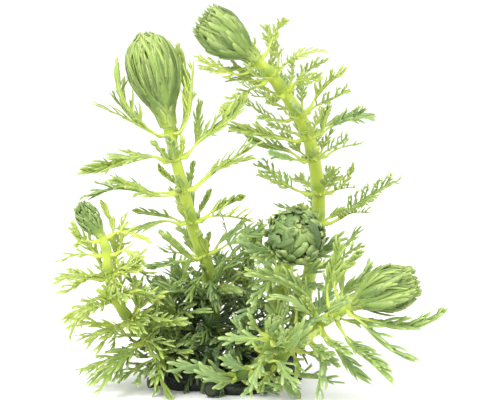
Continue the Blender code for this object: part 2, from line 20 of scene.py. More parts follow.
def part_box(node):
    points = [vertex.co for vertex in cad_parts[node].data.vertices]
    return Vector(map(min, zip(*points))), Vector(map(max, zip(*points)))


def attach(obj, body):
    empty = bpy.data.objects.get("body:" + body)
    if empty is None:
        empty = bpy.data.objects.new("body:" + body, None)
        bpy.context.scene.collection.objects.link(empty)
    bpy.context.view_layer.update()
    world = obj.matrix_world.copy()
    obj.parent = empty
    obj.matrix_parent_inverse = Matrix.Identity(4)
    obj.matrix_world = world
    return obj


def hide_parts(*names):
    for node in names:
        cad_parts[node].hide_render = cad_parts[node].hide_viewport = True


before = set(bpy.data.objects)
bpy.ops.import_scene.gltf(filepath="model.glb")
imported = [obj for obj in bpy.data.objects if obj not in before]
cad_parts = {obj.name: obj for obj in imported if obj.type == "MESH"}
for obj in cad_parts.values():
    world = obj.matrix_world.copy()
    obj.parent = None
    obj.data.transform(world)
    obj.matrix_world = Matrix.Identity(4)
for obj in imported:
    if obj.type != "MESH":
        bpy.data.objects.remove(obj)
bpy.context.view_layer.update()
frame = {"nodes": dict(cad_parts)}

bl_info = {
    "name": "Guyana Milfoil",
    "version": (1, 0, 0),
    "blender": (4, 5, 0),
    "location": "View3D > Sidebar > Milfoil",
    "description": "Makes a clump of guyana milfoil: stems, pinnate leaves, buds and rootstock",
    "category": "Object",
}

MM = 0.001

# The plan that the solids follow too, with its distances in millimetres
LEAF_CLEARANCE = 1.55  # least distance between blades of different whorls
SISTER_CLEARANCE = 1.15  # least distance between blades of one whorl
STEM_CLEARANCE = 0.9
BUD_CLEARANCE = 0.7
ROOT_CLEARANCE = 0.8
GROUND_CLEARANCE = 0.45
JOINT_GAP = 0.3  # clearance where one solid sits on or round another
RING_DEPTH = 0.8  # how far a swollen node stands out
RING_STEP = math.radians(76)  # widest step between two cross sections of a swollen node
PETIOLE_SPACING = math.radians(38)  # least angle between the feet of two leaves of a whorl
FOOT_SHIFTS = np.radians([0, 8, -8, 16, -16, 24, -24, 32, -32, 40, -40])
PETIOLE_SAMPLES = 6  # the first sample points of a leaf, which are on its bare stalk
SAMPLE_PLACES = np.linspace(0.2, 1.0, 8)  # along a leaf
SAMPLE_REACH = 0.85  # how far out the samples beside the midrib are, as a share of the outline
BLADE_FOOT, BLADE_WIDEST = 0.2, 0.55  # along a leaf
BLADE_FULLNESS = 0.6  # the smaller, the fuller is a blade
BLADE_CLOSING = 0.93  # how far a blade's outline has closed at its tip
BUD_FULLNESS = 0.62  # the smaller, the fuller is a bud
BUD_RISE = 1.25  # above 1, how far a bud's widest place lies above its middle
BALL_PLACES = np.linspace(0.1, 0.95, 7)  # along a bud
START_OUT, START_UP = 0.9, 0.5  # the way in which a leaf sets out from its stem
BEND_FIRST, BEND_SPAN = 0.38, 0.1  # how far from its base a leaf bends, as a share of its length
MOST_AVERTED = -0.2  # a face that looks further away from the viewer than this is turned round
SEEN_FACING, SEEN_SPAN = 0.45, 0.3  # how far the leaves with known tips face the viewer
REST_FACING = 0.35  # how far the other leaves face the viewer, at most
REST_SWING = 6  # degrees by which the rise of the other leaves wanders
REST_LENGTHS = (0.8, 1.1)  # of the other leaves, against the shoot's usual one
VIEWER = (0.0, -1.0, 0.25)  # the way from the clump to its viewer
FRONT = -math.pi / 2  # the angle round a stem at which it faces the viewer
PLAN_SEED = 7
PLAN_TOLERANCE = 0.05  # between the tip of a planned leaf and its solid's box

# The rootstock's lumps of old stem, as centre and half axes
ROOT_LUMPS = (
    ((0.0, 1.0, 2.0), (14.0, 10.5, 6.0)),
    ((-10.5, -1.0, 2.4), (7.5, 6.5, 5.4)),
    ((12.0, 5.0, 3.0), (8.0, 7.0, 6.6)),
    ((3.0, -6.5, 1.6), (7.0, 5.5, 4.6)),
)
# Cut ends of old stems: foot, end and radius
ROOT_STUBS = (
    ((-3.0, -8.0, 2.6), (-4.5, -15.0, 2.3), 2.0),
    ((-9.0, 4.0, 3.0), (-17.0, 9.5, 2.6), 1.7),
    ((9.0, 9.0, 3.0), (13.5, 16.5, 2.6), 1.8),
    ((-14.0, -3.0, 3.0), (-21.5, -6.0, 2.2), 1.5),
)


@dataclass
class Shoot:
    """One stem: its route from the rootstock to its bud, and the leaves at each of its nodes."""

    name: str
    route: list
    radius: tuple  # at the foot and at the top
    bud_tip: tuple
    bud_radius: float
    nodes: list  # distance of each whorl below the stem's top
    count: int  # leaves in a whorl
    length: float
    breadth: float  # half width of a blade as a share of its length
    rise: tuple  # angle between leaf and stem, at the top whorl and at the lowest
    bare_front: bool = False  # no leaf hangs across the stem on the side that is looked at
    tips: dict = field(default_factory=dict)  # leaf tips by whorl number


SHOOTS = (
    Shoot(
        "left_tall",
        [(-4, 3, 4), (-4, 4, 15), (-4.5, 4, 25), (-6, 3, 34), (-9, 3, 41.5), (-11, 2, 50),
         (-13, 1, 58), (-15, 0, 66), (-16, 0, 72)],
        (2.15, 1.4), (-22.5, -1, 96.5), 7.1,
        [3, 10, 19, 28, 38, 48, 59], 5, 17, 0.15, (38, 72), True,
        {1: [(-30, -3, 90), (-32, 5, 80), (-14, 4, 93), (-9, -6, 90), (-38, -2, 78)],
         2: [(-32, -4, 64), (-41, 2, 58), (5, -4, 80)],
         3: [(-31, -7, 57), (-38, 1, 51), (7, 5, 62), (8, -5, 67)],
         4: [(-31, -2, 44), (-26, 8, 47), (5, 4, 52), (7, -5, 46)],
         5: [(-18, -9, 44), (10, -5, 44), (4, 9, 44), (-22, -3, 33)],
         6: [(-20, -8, 27), (9, -6, 34), (-16, 14, 32), (4, -12, 28)],
         7: [(-17, -9, 18), (8, -6, 22), (-10, -12, 14), (3, 17, 20)]},
    ),
    Shoot(
        "right_tall",
        [(16, 8, 8), (21, 11, 22), (24, 14, 38), (25, 14, 50), (23.5, 13, 61), (21, 12, 70),
         (17, 10, 77), (12, 8, 84), (7, 6, 89)],
        (2.15, 1.7), (-8, 2, 101.5), 6.2,
        [1.5, 7, 13, 21, 28, 34, 44, 52, 64], 4, 16, 0.17, (45, 75), True,
        {1: [(16, 4, 100), (-8, 2, 89), (-8, 10, 86)],
         2: [(27, 6, 91), (-2, 2, 74), (19, -10, 90)],
         3: [(27, 12, 88), (25, -4, 85), (10, -6, 78)],
         4: [(32, 12, 85), (33, 4, 81), (3, 10, 78)],
         5: [(38, 10, 75), (41, 18, 72), (0, 8, 70)],
         6: [(36, 12, 65), (5, 17, 66)],
         7: [(34, 14, 59), (8, 8, 57), (8, 18, 59), (29, -2, 60)],
         8: [(46, 12, 55), (39, -2, 48), (11, 8, 44)],
         9: [(36, 6, 43), (30, 0, 39), (37, 16, 36)]},
    ),
    Shoot(
        "left_arching",
        [(-14, -2, 6), (-19, -4, 12), (-26, -5, 19), (-30, -6, 25), (-32, -6, 32),
         (-32.5, -5, 38), (-34, -4, 42)],
        (1.7, 1.25), (-40, -3, 50.5), 2.9,
        [1, 5.5, 11.5, 17.5, 24.5, 31.5, 37.5], 4, 14, 0.17, (42, 78), False,
        {1: [(-33, 1, 52), (-21, -6, 41), (-41, -10, 40), (-38, 8, 47)],
         2: [(-45, -6, 35), (-22, -10, 36), (-41, 5, 43)],
         3: [(-46, -4, 30), (-44, -14, 28), (-21, 4, 29), (-28, -18, 27)],
         4: [(-43, -8, 20), (-43, 4, 15), (-18, -12, 26)],
         5: [(-39, -12, 16), (-38, 3, 11), (-16, -16, 21)],
         6: [(-38, -12, 7), (-37, -2, 2), (-33, -18, 5)],
         7: [(-24, -14, 4), (-29, -10, 4), (-19, -20, 5)]},
    ),
    Shoot(
        "right_low",
        [(6, -8, 5), (11, -12, 7), (15, -15, 12), (19, -18, 18), (25, -21, 22),
         (29, -23, 24.7), (32.2, -24, 27.4)],
        (1.8, 1.45), (49.5, -28, 34.5), 6.0,
        [1.5, 5.5, 10.5, 16, 22, 29], 4, 16, 0.2, (48, 75), False,
        {1: [(57, -30, 27), (35, -26, 42), (48, -32, 13), (30, -16, 37)],
         2: [(29, -24, 44), (42, -34, 9), (38, -12, 36)],
         3: [(37, -28, 7), (11, -28, 30), (5, -22, 37), (32, -34, 16)],
         4: [(26, -30, 15), (23, -30, 4), (28, -4, 27)],
         5: [(27, -22, 10), (17, -24, 5), (19, -30, 29)],
         6: [(7, -22, 5), (11, -26, 6)]},
    ),
    Shoot(
        "centre",
        [(9, 0, 9), (13, -3, 22), (16, -6, 33), (17, -9, 39)],
        (1.7, 1.5), (19, -22, 48), 8.0,
        [1.5, 9, 17], 4, 14, 0.19, (62, 72), False,
        {1: [(24, -24, 37), (30, -14, 43), (9, -20, 41)],
         2: [(7, -16, 27), (28, -4, 35), (6, -6, 35)],
         3: [(3, -12, 21), (25, -12, 21)]},
    ),
    Shoot(
        "front_creeping",
        [(0, -10, 4), (5, -15, 7), (9, -19, 11), (11, -22, 16), (12, -24, 19)],
        (1.5, 1.2), (12.5, -27, 24.5), 2.0,
        [1, 7, 13.5, 20], 4, 14, 0.22, (50, 80), False,
        {1: [(6, -26, 25), (0, -30, 19), (16, -32, 22)],
         2: [(2, -20, 22), (17, -34, 9), (7, -30, 7)],
         3: [(11, -28, 3), (-1, -28, 13)],
         4: [(-13, -22, 10), (-7, -20, 14)]},
    ),
    Shoot(
        "left_short",
        [(-7, 2, 6), (-12, 3.5, 12), (-16, 3, 18), (-18, 2, 24)],
        (1.4, 1.15), (-19, 1, 30), 1.9,
        [0.8, 6.5, 13], 5, 14, 0.18, (50, 80), False,
    ),
    Shoot(
        "rear_short",
        [(5, 10, 7), (4, 14, 16), (5, 17, 25), (6, 19, 32)],
        (1.6, 1.3), (7, 21, 39.5), 2.3,
        [0.8, 7, 14.5, 21], 5, 15, 0.17, (42, 75), False,
    ),
)

# How a leaf is shifted until it hangs clear of the others: change of azimuth and rise in degrees,
# and of the length as a share
TRIALS = [
    (turn, lift, size)
    for size in (1.0, 0.9, 0.8, 0.7)
    for lift in (0, 8, -8, 16, -14)
    for turn in (0, 9, -9, 18, -18, 28, -28)
]


@dataclass
class Leaf:
    """One pinnate leaf: a midrib from base over a bend to the tip, and the way its face looks."""

    base: np.ndarray
    bend: np.ndarray
    tip: np.ndarray
    face: np.ndarray
    half_width: float
    length: float
    azimuth: float  # of the petiole's foot round the stem

    def point(self, s):
        return (1 - s) ** 2 * self.base + 2 * s * (1 - s) * self.bend + s * s * self.tip

    def frame(self, s):
        """Unit vectors along the midrib, to the leaf's side and out of its upper face."""
        along = unit((1 - s) * (self.bend - self.base) + s * (self.tip - self.bend))
        side = unit(np.cross(along, self.face))
        return along, side, np.cross(side, along)

    def samples(self):
        """Points on the midrib and near both edges, for telling how near two blades come."""
        found = []
        for s in SAMPLE_PLACES:
            centre = self.point(s)
            side = self.frame(s)[1]
            reach = SAMPLE_REACH * self.half_width * blade_outline(s)
            found += [centre, centre + reach * side, centre - reach * side]
        return np.array(found)


def unit(vector):
    vector = np.asarray(vector, float)
    return vector / max(np.linalg.norm(vector), 1e-9)


def between(pair, share):
    return pair[0] + (pair[1] - pair[0]) * share


def clamp(value):
    return min(max(value, 0), 1)


def wander(rng, most):
    """A number by chance, as likely below zero as above it."""
    return rng.uniform(-most, most)


def blade_outline(s):
    """Half width of the blade along the leaf, as a share of its widest place."""
    if s <= BLADE_FOOT:
        return 0.0
    if s < BLADE_WIDEST:
        opening = 0.5 * math.pi * (s - BLADE_FOOT) / (BLADE_WIDEST - BLADE_FOOT)
        return math.sin(opening) ** BLADE_FULLNESS
    closing = 0.5 * math.pi * (s - BLADE_WIDEST) / (1 - BLADE_WIDEST) * BLADE_CLOSING
    return math.cos(closing) ** BLADE_FULLNESS


def smooth_path(points, per_span=8):
    """Points of a smooth curve through the given ones."""
    p = np.array(points, float)
    p = np.vstack([2 * p[0] - p[1], p, 2 * p[-1] - p[-2]])
    rows = []
    for i in range(1, len(p) - 2):
        for t in np.arange(per_span) / per_span:
            a = 2 * p[i]
            b = p[i + 1] - p[i - 1]
            c = 2 * p[i - 1] - 5 * p[i] + 4 * p[i + 1] - p[i + 2]
            d = 3 * p[i] - p[i - 1] - 3 * p[i + 1] + p[i + 2]
            rows.append(0.5 * (a + b * t + c * t**2 + d * t**3))
    rows.append(p[-2])
    return np.array(rows)


def from_top(path, distance):
    """Place, direction and share of the length at a distance below the path's upper end."""
    back = path[::-1]
    steps = np.linalg.norm(np.diff(back, axis=0), axis=1)
    run = np.concatenate([[0], np.cumsum(steps)])
    place = np.array([np.interp(distance, run, back[:, k]) for k in range(3)])
    i = min(int(np.searchsorted(run, distance, side="right")), len(back) - 1)
    return place, unit(back[i - 1] - back[i]), 1 - distance / run[-1]


def stem_radius(shoot, share):
    return between(shoot.radius, share)


def ring_radii(radius):
    """Inner and outer radius of the swollen node that carries a whorl."""
    inner = (radius + JOINT_GAP) / math.cos(RING_STEP / 2)
    return inner, inner + RING_DEPTH


def bud_spheres(shoot, path):
    """Balls that fill a bud, for keeping leaves out of it."""
    foot, tip = path[-1], np.array(shoot.bud_tip, float)
    return [
        (foot + (tip - foot) * t, shoot.bud_radius * bud_outline(t)) for t in BALL_PLACES
    ]


def bud_outline(t):
    """Radius of a bud along its axis, as a share of its widest place."""
    return max(math.sin(math.pi * min(t, 1.0) ** BUD_RISE), 0.0) ** BUD_FULLNESS


def stem_frame(axis):
    """Two directions across the stem: to the viewer's right, and away from the viewer."""
    away = unit(np.array([0, 1, 0]) - axis * axis[1])
    return np.cross(away, axis), away


def around(axis, azimuth):
    """The direction out of the stem at an angle round it."""
    right, away = stem_frame(axis)
    return right * math.cos(azimuth) + away * math.sin(azimuth)


def direction(axis, azimuth, slope):
    """The direction at one angle round the stem and at another away from it."""
    return around(axis, azimuth) * math.sin(slope) + axis * math.cos(slope)


def azimuth_of(axis, out):
    """The angle round the stem at which a direction stands."""
    right, away = stem_frame(axis)
    return math.atan2(out @ away, out @ right)


def leaf_at(place, axis, start_radius, azimuth, tip, breadth, rng, facing):
    """A leaf from the stem node to a given tip, arched and turned a little by chance."""
    radial = around(axis, azimuth)
    base = place + radial * start_radius
    chord = tip - base
    length = float(np.linalg.norm(chord))
    start = unit(radial * START_OUT + axis * START_UP)
    bend = base + start * (BEND_FIRST + BEND_SPAN * rng.random()) * length
    tangential = unit(np.cross(axis, radial))
    inward = unit(np.cross(tangential, chord))
    inward = inward if inward @ axis > 0 else -inward
    viewer = np.array(VIEWER)
    viewer = unit(viewer - chord * (viewer @ chord) / (chord @ chord))
    viewer = viewer if viewer @ inward > MOST_AVERTED else -viewer
    face = unit((1 - facing) * inward + facing * viewer)
    return Leaf(base, bend, tip, face, breadth * length, length, azimuth)


def plan_clump():
    """The smooth path of each stem, and the leaves of each whorl, all clear of one another."""
    rng = Random(PLAN_SEED)
    paths = {shoot.name: smooth_path(shoot.route) for shoot in SHOOTS}
    stem_rows = []
    bud_rows = []
    for shoot in SHOOTS:
        path = paths[shoot.name]
        for i, place in enumerate(path):
            stem_rows.append((shoot.name, place, stem_radius(shoot, i / (len(path) - 1))))
        bud_rows += [(shoot.name, *ball) for ball in bud_spheres(shoot, path)]
    taken = np.zeros((0, 3))
    taken_whorl = np.zeros(0, int)
    whorls = []

    def is_clear(leaf, shoot, whorl_id):
        points = leaf.samples()
        if points[:, 2].min() < GROUND_CLEARANCE:
            return False
        outer = points[PETIOLE_SAMPLES:]
        for centre, axes in ROOT_LUMPS:
            scaled = (outer - centre) / (np.array(axes) + ROOT_CLEARANCE)
            if ((scaled**2).sum(1) < 1).any():
                return False
        for rows, margin in ((stem_rows, STEM_CLEARANCE), (bud_rows, BUD_CLEARANCE)):
            places = np.array([row[1] for row in rows])
            radii = np.array([row[2] for row in rows])
            own = np.array([row[0] == shoot.name for row in rows])
            near = np.linalg.norm(points[:, None] - places[None], axis=2) - radii - margin
            if (near[:, ~own] < 0).any() or (near[PETIOLE_SAMPLES:, own] < 0).any():
                return False
        for others, ours, least in (
            (taken[taken_whorl != whorl_id], points, LEAF_CLEARANCE),
            (taken[taken_whorl == whorl_id], outer, SISTER_CLEARANCE),
        ):
            if len(others):
                gaps = np.linalg.norm(ours[:, None] - others[None], axis=2)
                if gaps.min() < least:
                    return False
        return True

    def try_place(shoot, whorl_id, place, axis, start, tip, facing):
        """The nearest clear leaf to the wanted one, or none."""
        reach = tip - place
        up = reach @ axis
        flat = reach - axis * up
        azimuth = azimuth_of(axis, flat)
        rise = math.atan2(np.linalg.norm(flat), up)
        for turn, lift, size in TRIALS:
            angle = azimuth + math.radians(turn)
            foot = free_azimuth(angle, [leaf.azimuth for leaf in whorls[whorl_id]["leaves"]])
            if foot is None:
                continue
            way = direction(axis, angle, rise + math.radians(lift))
            aim = place + way * np.linalg.norm(reach) * size
            leaf = leaf_at(place, axis, start, foot, aim, shoot.breadth, rng, facing)
            if is_clear(leaf, shoot, whorl_id):
                return leaf
        return None

    for shoot in SHOOTS:
        path = paths[shoot.name]
        for number, distance in enumerate(shoot.nodes, 1):
            place, axis, share = from_top(path, distance)
            whorls.append(
                {"shoot": shoot, "number": number, "place": place, "axis": axis,
                 "radius": stem_radius(shoot, share), "leaves": []}
            )

    def add(whorl_id, tip, facing):
        nonlocal taken, taken_whorl
        whorl = whorls[whorl_id]
        start = ring_radii(whorl["radius"])[1]
        leaf = try_place(
            whorl["shoot"], whorl_id, whorl["place"], whorl["axis"], start, tip, facing
        )
        if leaf is not None:
            whorl["leaves"].append(leaf)
            points = leaf.samples()
            taken = np.vstack([taken, points])
            taken_whorl = np.concatenate([taken_whorl, np.full(len(points), whorl_id)])

    # Leaves whose tips are known
    for whorl_id, whorl in enumerate(whorls):
        for tip in whorl["shoot"].tips.get(whorl["number"], []):
            add(whorl_id, np.array(tip, float), SEEN_FACING + SEEN_SPAN * rng.random())
    # The rest of each whorl stands in the widest gaps that are left
    for whorl_id, whorl in enumerate(whorls):
        shoot, axis = whorl["shoot"], whorl["axis"]
        used = [azimuth_of(axis, leaf.tip - whorl["place"]) for leaf in whorl["leaves"]]
        if shoot.bare_front:
            used.append(FRONT)
        for _ in range(shoot.count - len(whorl["leaves"])):
            angle = widest_gap(used) if used else rng.uniform(0, 2 * math.pi)
            used.append(angle)
            rise = between(shoot.rise, share_down(whorl)) + wander(rng, REST_SWING)
            way = direction(axis, angle, math.radians(rise))
            length = shoot.length * rng.uniform(*REST_LENGTHS)
            add(whorl_id, whorl["place"] + way * length, REST_FACING * rng.random())
    return paths, whorls


def free_azimuth(wanted, used):
    """The nearest angle round the stem where a petiole still fits, within 40 degrees."""
    for shift in FOOT_SHIFTS:
        angle = (wanted + shift) % (2 * math.pi)
        apart = [abs((angle - other + math.pi) % (2 * math.pi) - math.pi) for other in used]
        if not apart or min(apart) >= PETIOLE_SPACING:
            return angle
    return None


def widest_gap(used):
    """The middle of the widest gap between the angles."""
    turns = sorted(angle % (2 * math.pi) for angle in used)
    gaps = [
        ((after - before), before)
        for before, after in zip(turns, turns[1:] + [turns[0] + 2 * math.pi])
    ]
    gap, before = max(gaps)
    return before + gap / 2


@functools.cache
def clump():
    """The plan, worked out once and tested against the solids."""
    paths, whorls = plan_clump()
    for whorl in whorls:
        node = whorl_node(whorl)
        low, high = (np.array(corner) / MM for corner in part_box(node))
        for leaf in whorl["leaves"]:
            if (leaf.tip < low - PLAN_TOLERANCE).any() or (leaf.tip > high + PLAN_TOLERANCE).any():
                raise RuntimeError(f"the plan puts a leaf tip outside the solid {node}")
    return paths, whorls


def whorl_node(whorl):
    return f"{whorl['shoot'].name}_whorl_{whorl['number']}"


def share_down(whorl):
    """Place of a whorl down its shoot, 0 for the top whorl and 1 for the lowest."""
    return (whorl["number"] - 1) / max(len(whorl["shoot"].nodes) - 1, 1)


# Settings that a user would change

def length_setting(name, description, default):
    return bpy.props.FloatProperty(
        name=name, description=description, default=default, min=0, unit="LENGTH", precision=5
    )


def share_setting(name, description, default):
    return bpy.props.FloatProperty(
        name=name, description=description, default=default, min=0, max=1, subtype="FACTOR"
    )


def linear(*values):
    """A colour given as it looks on a screen, from 0 to 255, as linear light."""
    shares = [value / 255 for value in values]
    return [s / 12.92 if s <= 0.04045 else ((s + 0.055) / 1.055) ** 2.4 for s in shares]


def colour_setting(name, description, default):
    return bpy.props.FloatVectorProperty(
        name=name, description=description, default=default, min=0, max=1, subtype="COLOR"
    )


class MilfoilLeafSettings(bpy.types.PropertyGroup):
    """Sizes and colours of the leaves"""

    usual_length: length_setting("Usual leaf", "Leaf length with the usual number of lobes", 0.0155)
    lobe: length_setting("Lobe half width", "Half width of a slender lobe", 0.00033)
    petiole: length_setting("Petiole half width", "Half width of the bare leaf stalk", 0.0004)
    lobe_depth: share_setting("Lobe depth", "Thickness of a lobe as a share of its width", 0.3)
    web_depth: share_setting("Web depth", "Thickness of the web as a share of its width", 0.14)
    stalk_depth: share_setting("Stalk depth", "Thickness of the stalk, as a share", 0.8)
    young: colour_setting("Young leaf", "Colour of the youngest leaves", linear(188, 202, 84))
    grown: colour_setting("Grown leaf", "Colour of full-grown leaves", linear(116, 141, 56))
    # Old leaf: the darkest leaf colour, of old leaves and also of the painted shade in the low middle
    # of the clump and on the leaves that lie on the knot
    old: colour_setting("Old leaf", "Colour of the oldest leaves", linear(22, 32, 18))
    blue: colour_setting("Blue green", "Colour of the bloom on the leaves", linear(118, 150, 98))
    # Pale rim: the colour of the painted highlight along the rims and at the lobes' ends
    pale: colour_setting("Pale rim", "Colour of the rims and the lobes' ends", linear(194, 206, 134))


class MilfoilStemSettings(bpy.types.PropertyGroup):
    """Shape and colours of the stems"""

    swelling: length_setting("Node swelling", "How far a stem node stands out", 0.00022)
    sides: bpy.props.IntProperty(
        name="Sides", description="Corners of a stem's cross section", default=20, min=8, max=48
    )
    young: colour_setting("Young stem", "Colour of the stems near the buds", linear(172, 188, 64))
    grown: colour_setting("Grown stem", "Colour of the stems' lower part", linear(120, 144, 46))
    old: colour_setting("Old stem", "Colour of the stems at the rootstock", linear(38, 48, 20))
    blue: colour_setting("Node green", "Colour of the swollen nodes", linear(90, 124, 44))
    # Pale streak: the colour of the painted highlight along the left and right sides of a stem as the
    # viewer sees it
    pale: colour_setting("Pale streak", "Colour of the streaks along a stem", linear(200, 210, 126))


class MilfoilBudSettings(bpy.types.PropertyGroup):
    """Shape and colours of the buds"""

    lobe_depth: share_setting("Lobe depth", "Thickness of a lobe as a share of its width", 0.55)
    web_depth: share_setting("Web depth", "Thickness of the web as a share of its width", 0.2)
    young: colour_setting("Young bud", "Colour of the light side of a bud", linear(176, 194, 90))
    grown: colour_setting("Bud", "Colour of the folded leaves", linear(116, 142, 66))
    # Bud gap: painted shade, the dark colour of a bud's heart, which shows in the gaps between the
    # folded leaves
    old: colour_setting("Bud gap", "Colour between the folded leaves", linear(20, 30, 14))
    blue: colour_setting("Blue green", "Colour of the bloom on the folded leaves", linear(96, 124, 74))
    # Pale rim: the colour of the painted highlight along the lobes' rims
    pale: colour_setting("Pale rim", "Colour of the lobes' rims", linear(188, 202, 128))


class MilfoilRootSettings(bpy.types.PropertyGroup):
    """Numbers, skin and colours of the rootstock"""

    strands: bpy.props.IntProperty(
        name="Old stems", description="Old stems that lie on the knot", default=44, min=0, max=80
    )
    # Old leaves above the knot, painted dark as shade
    leaves: bpy.props.IntProperty(
        name="Old leaves", description="Dark old leaves above the knot", default=160, min=0, max=300
    )
    skin: length_setting("Skin cell", "Size of the cells of the knot's skin", 0.00045)
    young: colour_setting("Cut face", "Colour of a cut stem end", linear(70, 84, 44))
    grown: colour_setting("Wet bark", "Colour of the old stems", linear(26, 33, 20))
    old: colour_setting("Dark bark", "Colour of the hollows", linear(9, 12, 8))
    blue: colour_setting("Algae", "Colour of the green film on old stems", linear(30, 42, 24))
    # Scar: the colour of the painted highlight along the flanks of the old stems and cut stubs; the
    # scar rings get only a trace of it
    pale: colour_setting("Scar", "Colour of the leaf scars", linear(54, 60, 38))


class MilfoilStageSettings(bpy.types.PropertyGroup):
    """The camera and the floor"""

    distance: length_setting("Camera distance", "Distance from the camera to the clump", 0.6)
    rise: bpy.props.FloatProperty(
        name="Camera rise", description="Angle of the camera above the horizon",
        default=math.radians(8), subtype="ANGLE"
    )
    lens: bpy.props.FloatProperty(
        name="Lens", description="Focal length", default=160, unit="CAMERA"
    )
    floor: length_setting("Floor size", "Width of the floor", 12.0)
    paper: colour_setting("Floor colour", "Colour of the pale floor", (0.96, 0.96, 0.96))


# Node trees

class Nodes:
    """Adds nodes to a tree and feeds their sockets with values or with other sockets."""

    def __init__(self, tree):
        self.tree = tree

    def add(self, kind, feeds=None, **settings):
        node = self.tree.nodes.new(kind)
        for name, value in settings.items():
            setattr(node, name, value)
        self.feed_each(node, feeds or {})
        return node

    def feed_each(self, node, feeds):
        for name, value in feeds.items():
            self.feed(node, name, value)

    def feed(self, node, name, value):
        by_identifier = [socket for socket in node.inputs if socket.identifier == name]
        socket = by_identifier[0] if by_identifier else node.inputs[name]
        if isinstance(value, bpy.types.Node):
            value = value.outputs[0]
        if isinstance(value, bpy.types.NodeSocket):
            self.tree.links.new(value, socket)
        else:
            socket.default_value = value

    def math(self, operation, *values, clamp=False):
        feeds = dict(zip(("Value", "Value_001", "Value_002"), values))
        return self.add("ShaderNodeMath", feeds, operation=operation, use_clamp=clamp)

    def mix(self, factor, one, other):
        feeds = {"Factor_Float": factor, "A_Color": one, "B_Color": other}
        node = self.add("ShaderNodeMix", feeds, data_type="RGBA", clamp_factor=True)
        return next(socket for socket in node.outputs if socket.identifier == "Result_Color")


def new_material(name):
    """A material, the nodes that it is made of, and its shader."""
    material = bpy.data.materials.new(name)
    material.use_nodes = True
    return material, Nodes(material.node_tree), material.node_tree.nodes["Principled BSDF"]


def new_object(name, data):
    """An object in the scene, at the origin."""
    obj = bpy.data.objects.new(name, data)
    bpy.context.scene.collection.objects.link(obj)
    return obj


FORMS = ("Stalk", "Lobe", "Web", "Body")
STALK, LOBE, WEB, BODY = range(len(FORMS))


@functools.cache
def slender_forms_tree():
    """Stalks, lobes and webs along paths. Each path's points carry its form, its half width and
    the way its upper face looks, and a body that has faces already is passed on as it is."""
    tree = bpy.data.node_groups.new("slender_forms", "GeometryNodeTree")
    sockets = tree.interface
    sockets.new_socket("Paths", in_out="INPUT", socket_type="NodeSocketGeometry")
    sockets.new_socket("Sides", in_out="INPUT", socket_type="NodeSocketInt")
    for form in FORMS[:BODY]:
        sockets.new_socket(f"{form} depth", in_out="INPUT", socket_type="NodeSocketFloat")
    sockets.new_socket("Material", in_out="INPUT", socket_type="NodeSocketMaterial")
    sockets.new_socket("Growth", in_out="OUTPUT", socket_type="NodeSocketGeometry")
    nodes = Nodes(tree)
    source = nodes.add("NodeGroupInput")

    def attribute(name, data_type):
        return nodes.add("GeometryNodeInputNamedAttribute", {"Name": name}, data_type=data_type)

    def of_form(number):
        same = nodes.add(
            "FunctionNodeCompare", {"A_INT": attribute("form", "INT"), "B_INT": number},
            data_type="INT", operation="EQUAL"
        )
        return nodes.add(
            "GeometryNodeSeparateGeometry",
            {"Geometry": source.outputs["Paths"], "Selection": same}, domain="POINT"
        )

    circle = nodes.add(
        "GeometryNodeCurvePrimitiveCircle",
        {"Resolution": source.outputs["Sides"], "Radius": 1.0}, mode="RADIUS"
    )
    place = nodes.add("GeometryNodeInputPosition")
    across = nodes.add("ShaderNodeSeparateXYZ", {"Vector": place})
    section = nodes.add(
        "GeometryNodeStoreNamedAttribute",
        {"Geometry": circle, "Name": "edge", "Value": nodes.math("ABSOLUTE", across)},
        data_type="FLOAT", domain="POINT"
    )
    joined = nodes.add("GeometryNodeJoinGeometry")
    for number, form in enumerate(FORMS[:BODY]):
        lens = nodes.add(
            "ShaderNodeCombineXYZ", {"X": 1.0, "Y": source.outputs[f"{form} depth"], "Z": 1.0}
        )
        profile = nodes.add(
            "GeometryNodeTransform",
            {"Geometry": section, "Scale": lens, "Rotation": (0, 0, math.pi / 2)}
        )
        curves = nodes.add("GeometryNodeMeshToCurve", {"Mesh": of_form(number)})
        turned = nodes.add(
            "GeometryNodeSetCurveNormal",
            {"Curve": curves, "Normal": attribute("up", "FLOAT_VECTOR")}, mode="FREE"
        )
        skin = nodes.add(
            "GeometryNodeCurveToMesh",
            {"Curve": turned, "Profile Curve": profile, "Scale": attribute("half_width", "FLOAT"),
             "Fill Caps": True}
        )
        nodes.feed(joined, "Geometry", skin)
    nodes.feed(joined, "Geometry", of_form(BODY))
    smooth = nodes.add("GeometryNodeSetShadeSmooth", {"Geometry": joined})
    real = nodes.add("GeometryNodeRealizeInstances", {"Geometry": smooth})
    dressed = nodes.add(
        "GeometryNodeSetMaterial", {"Geometry": real, "Material": source.outputs["Material"]}
    )
    nodes.add("NodeGroupOutput", {"Growth": dressed})
    return tree


PATCH_SCALE = 60.0  # patches of lighter and darker tissue, per metre


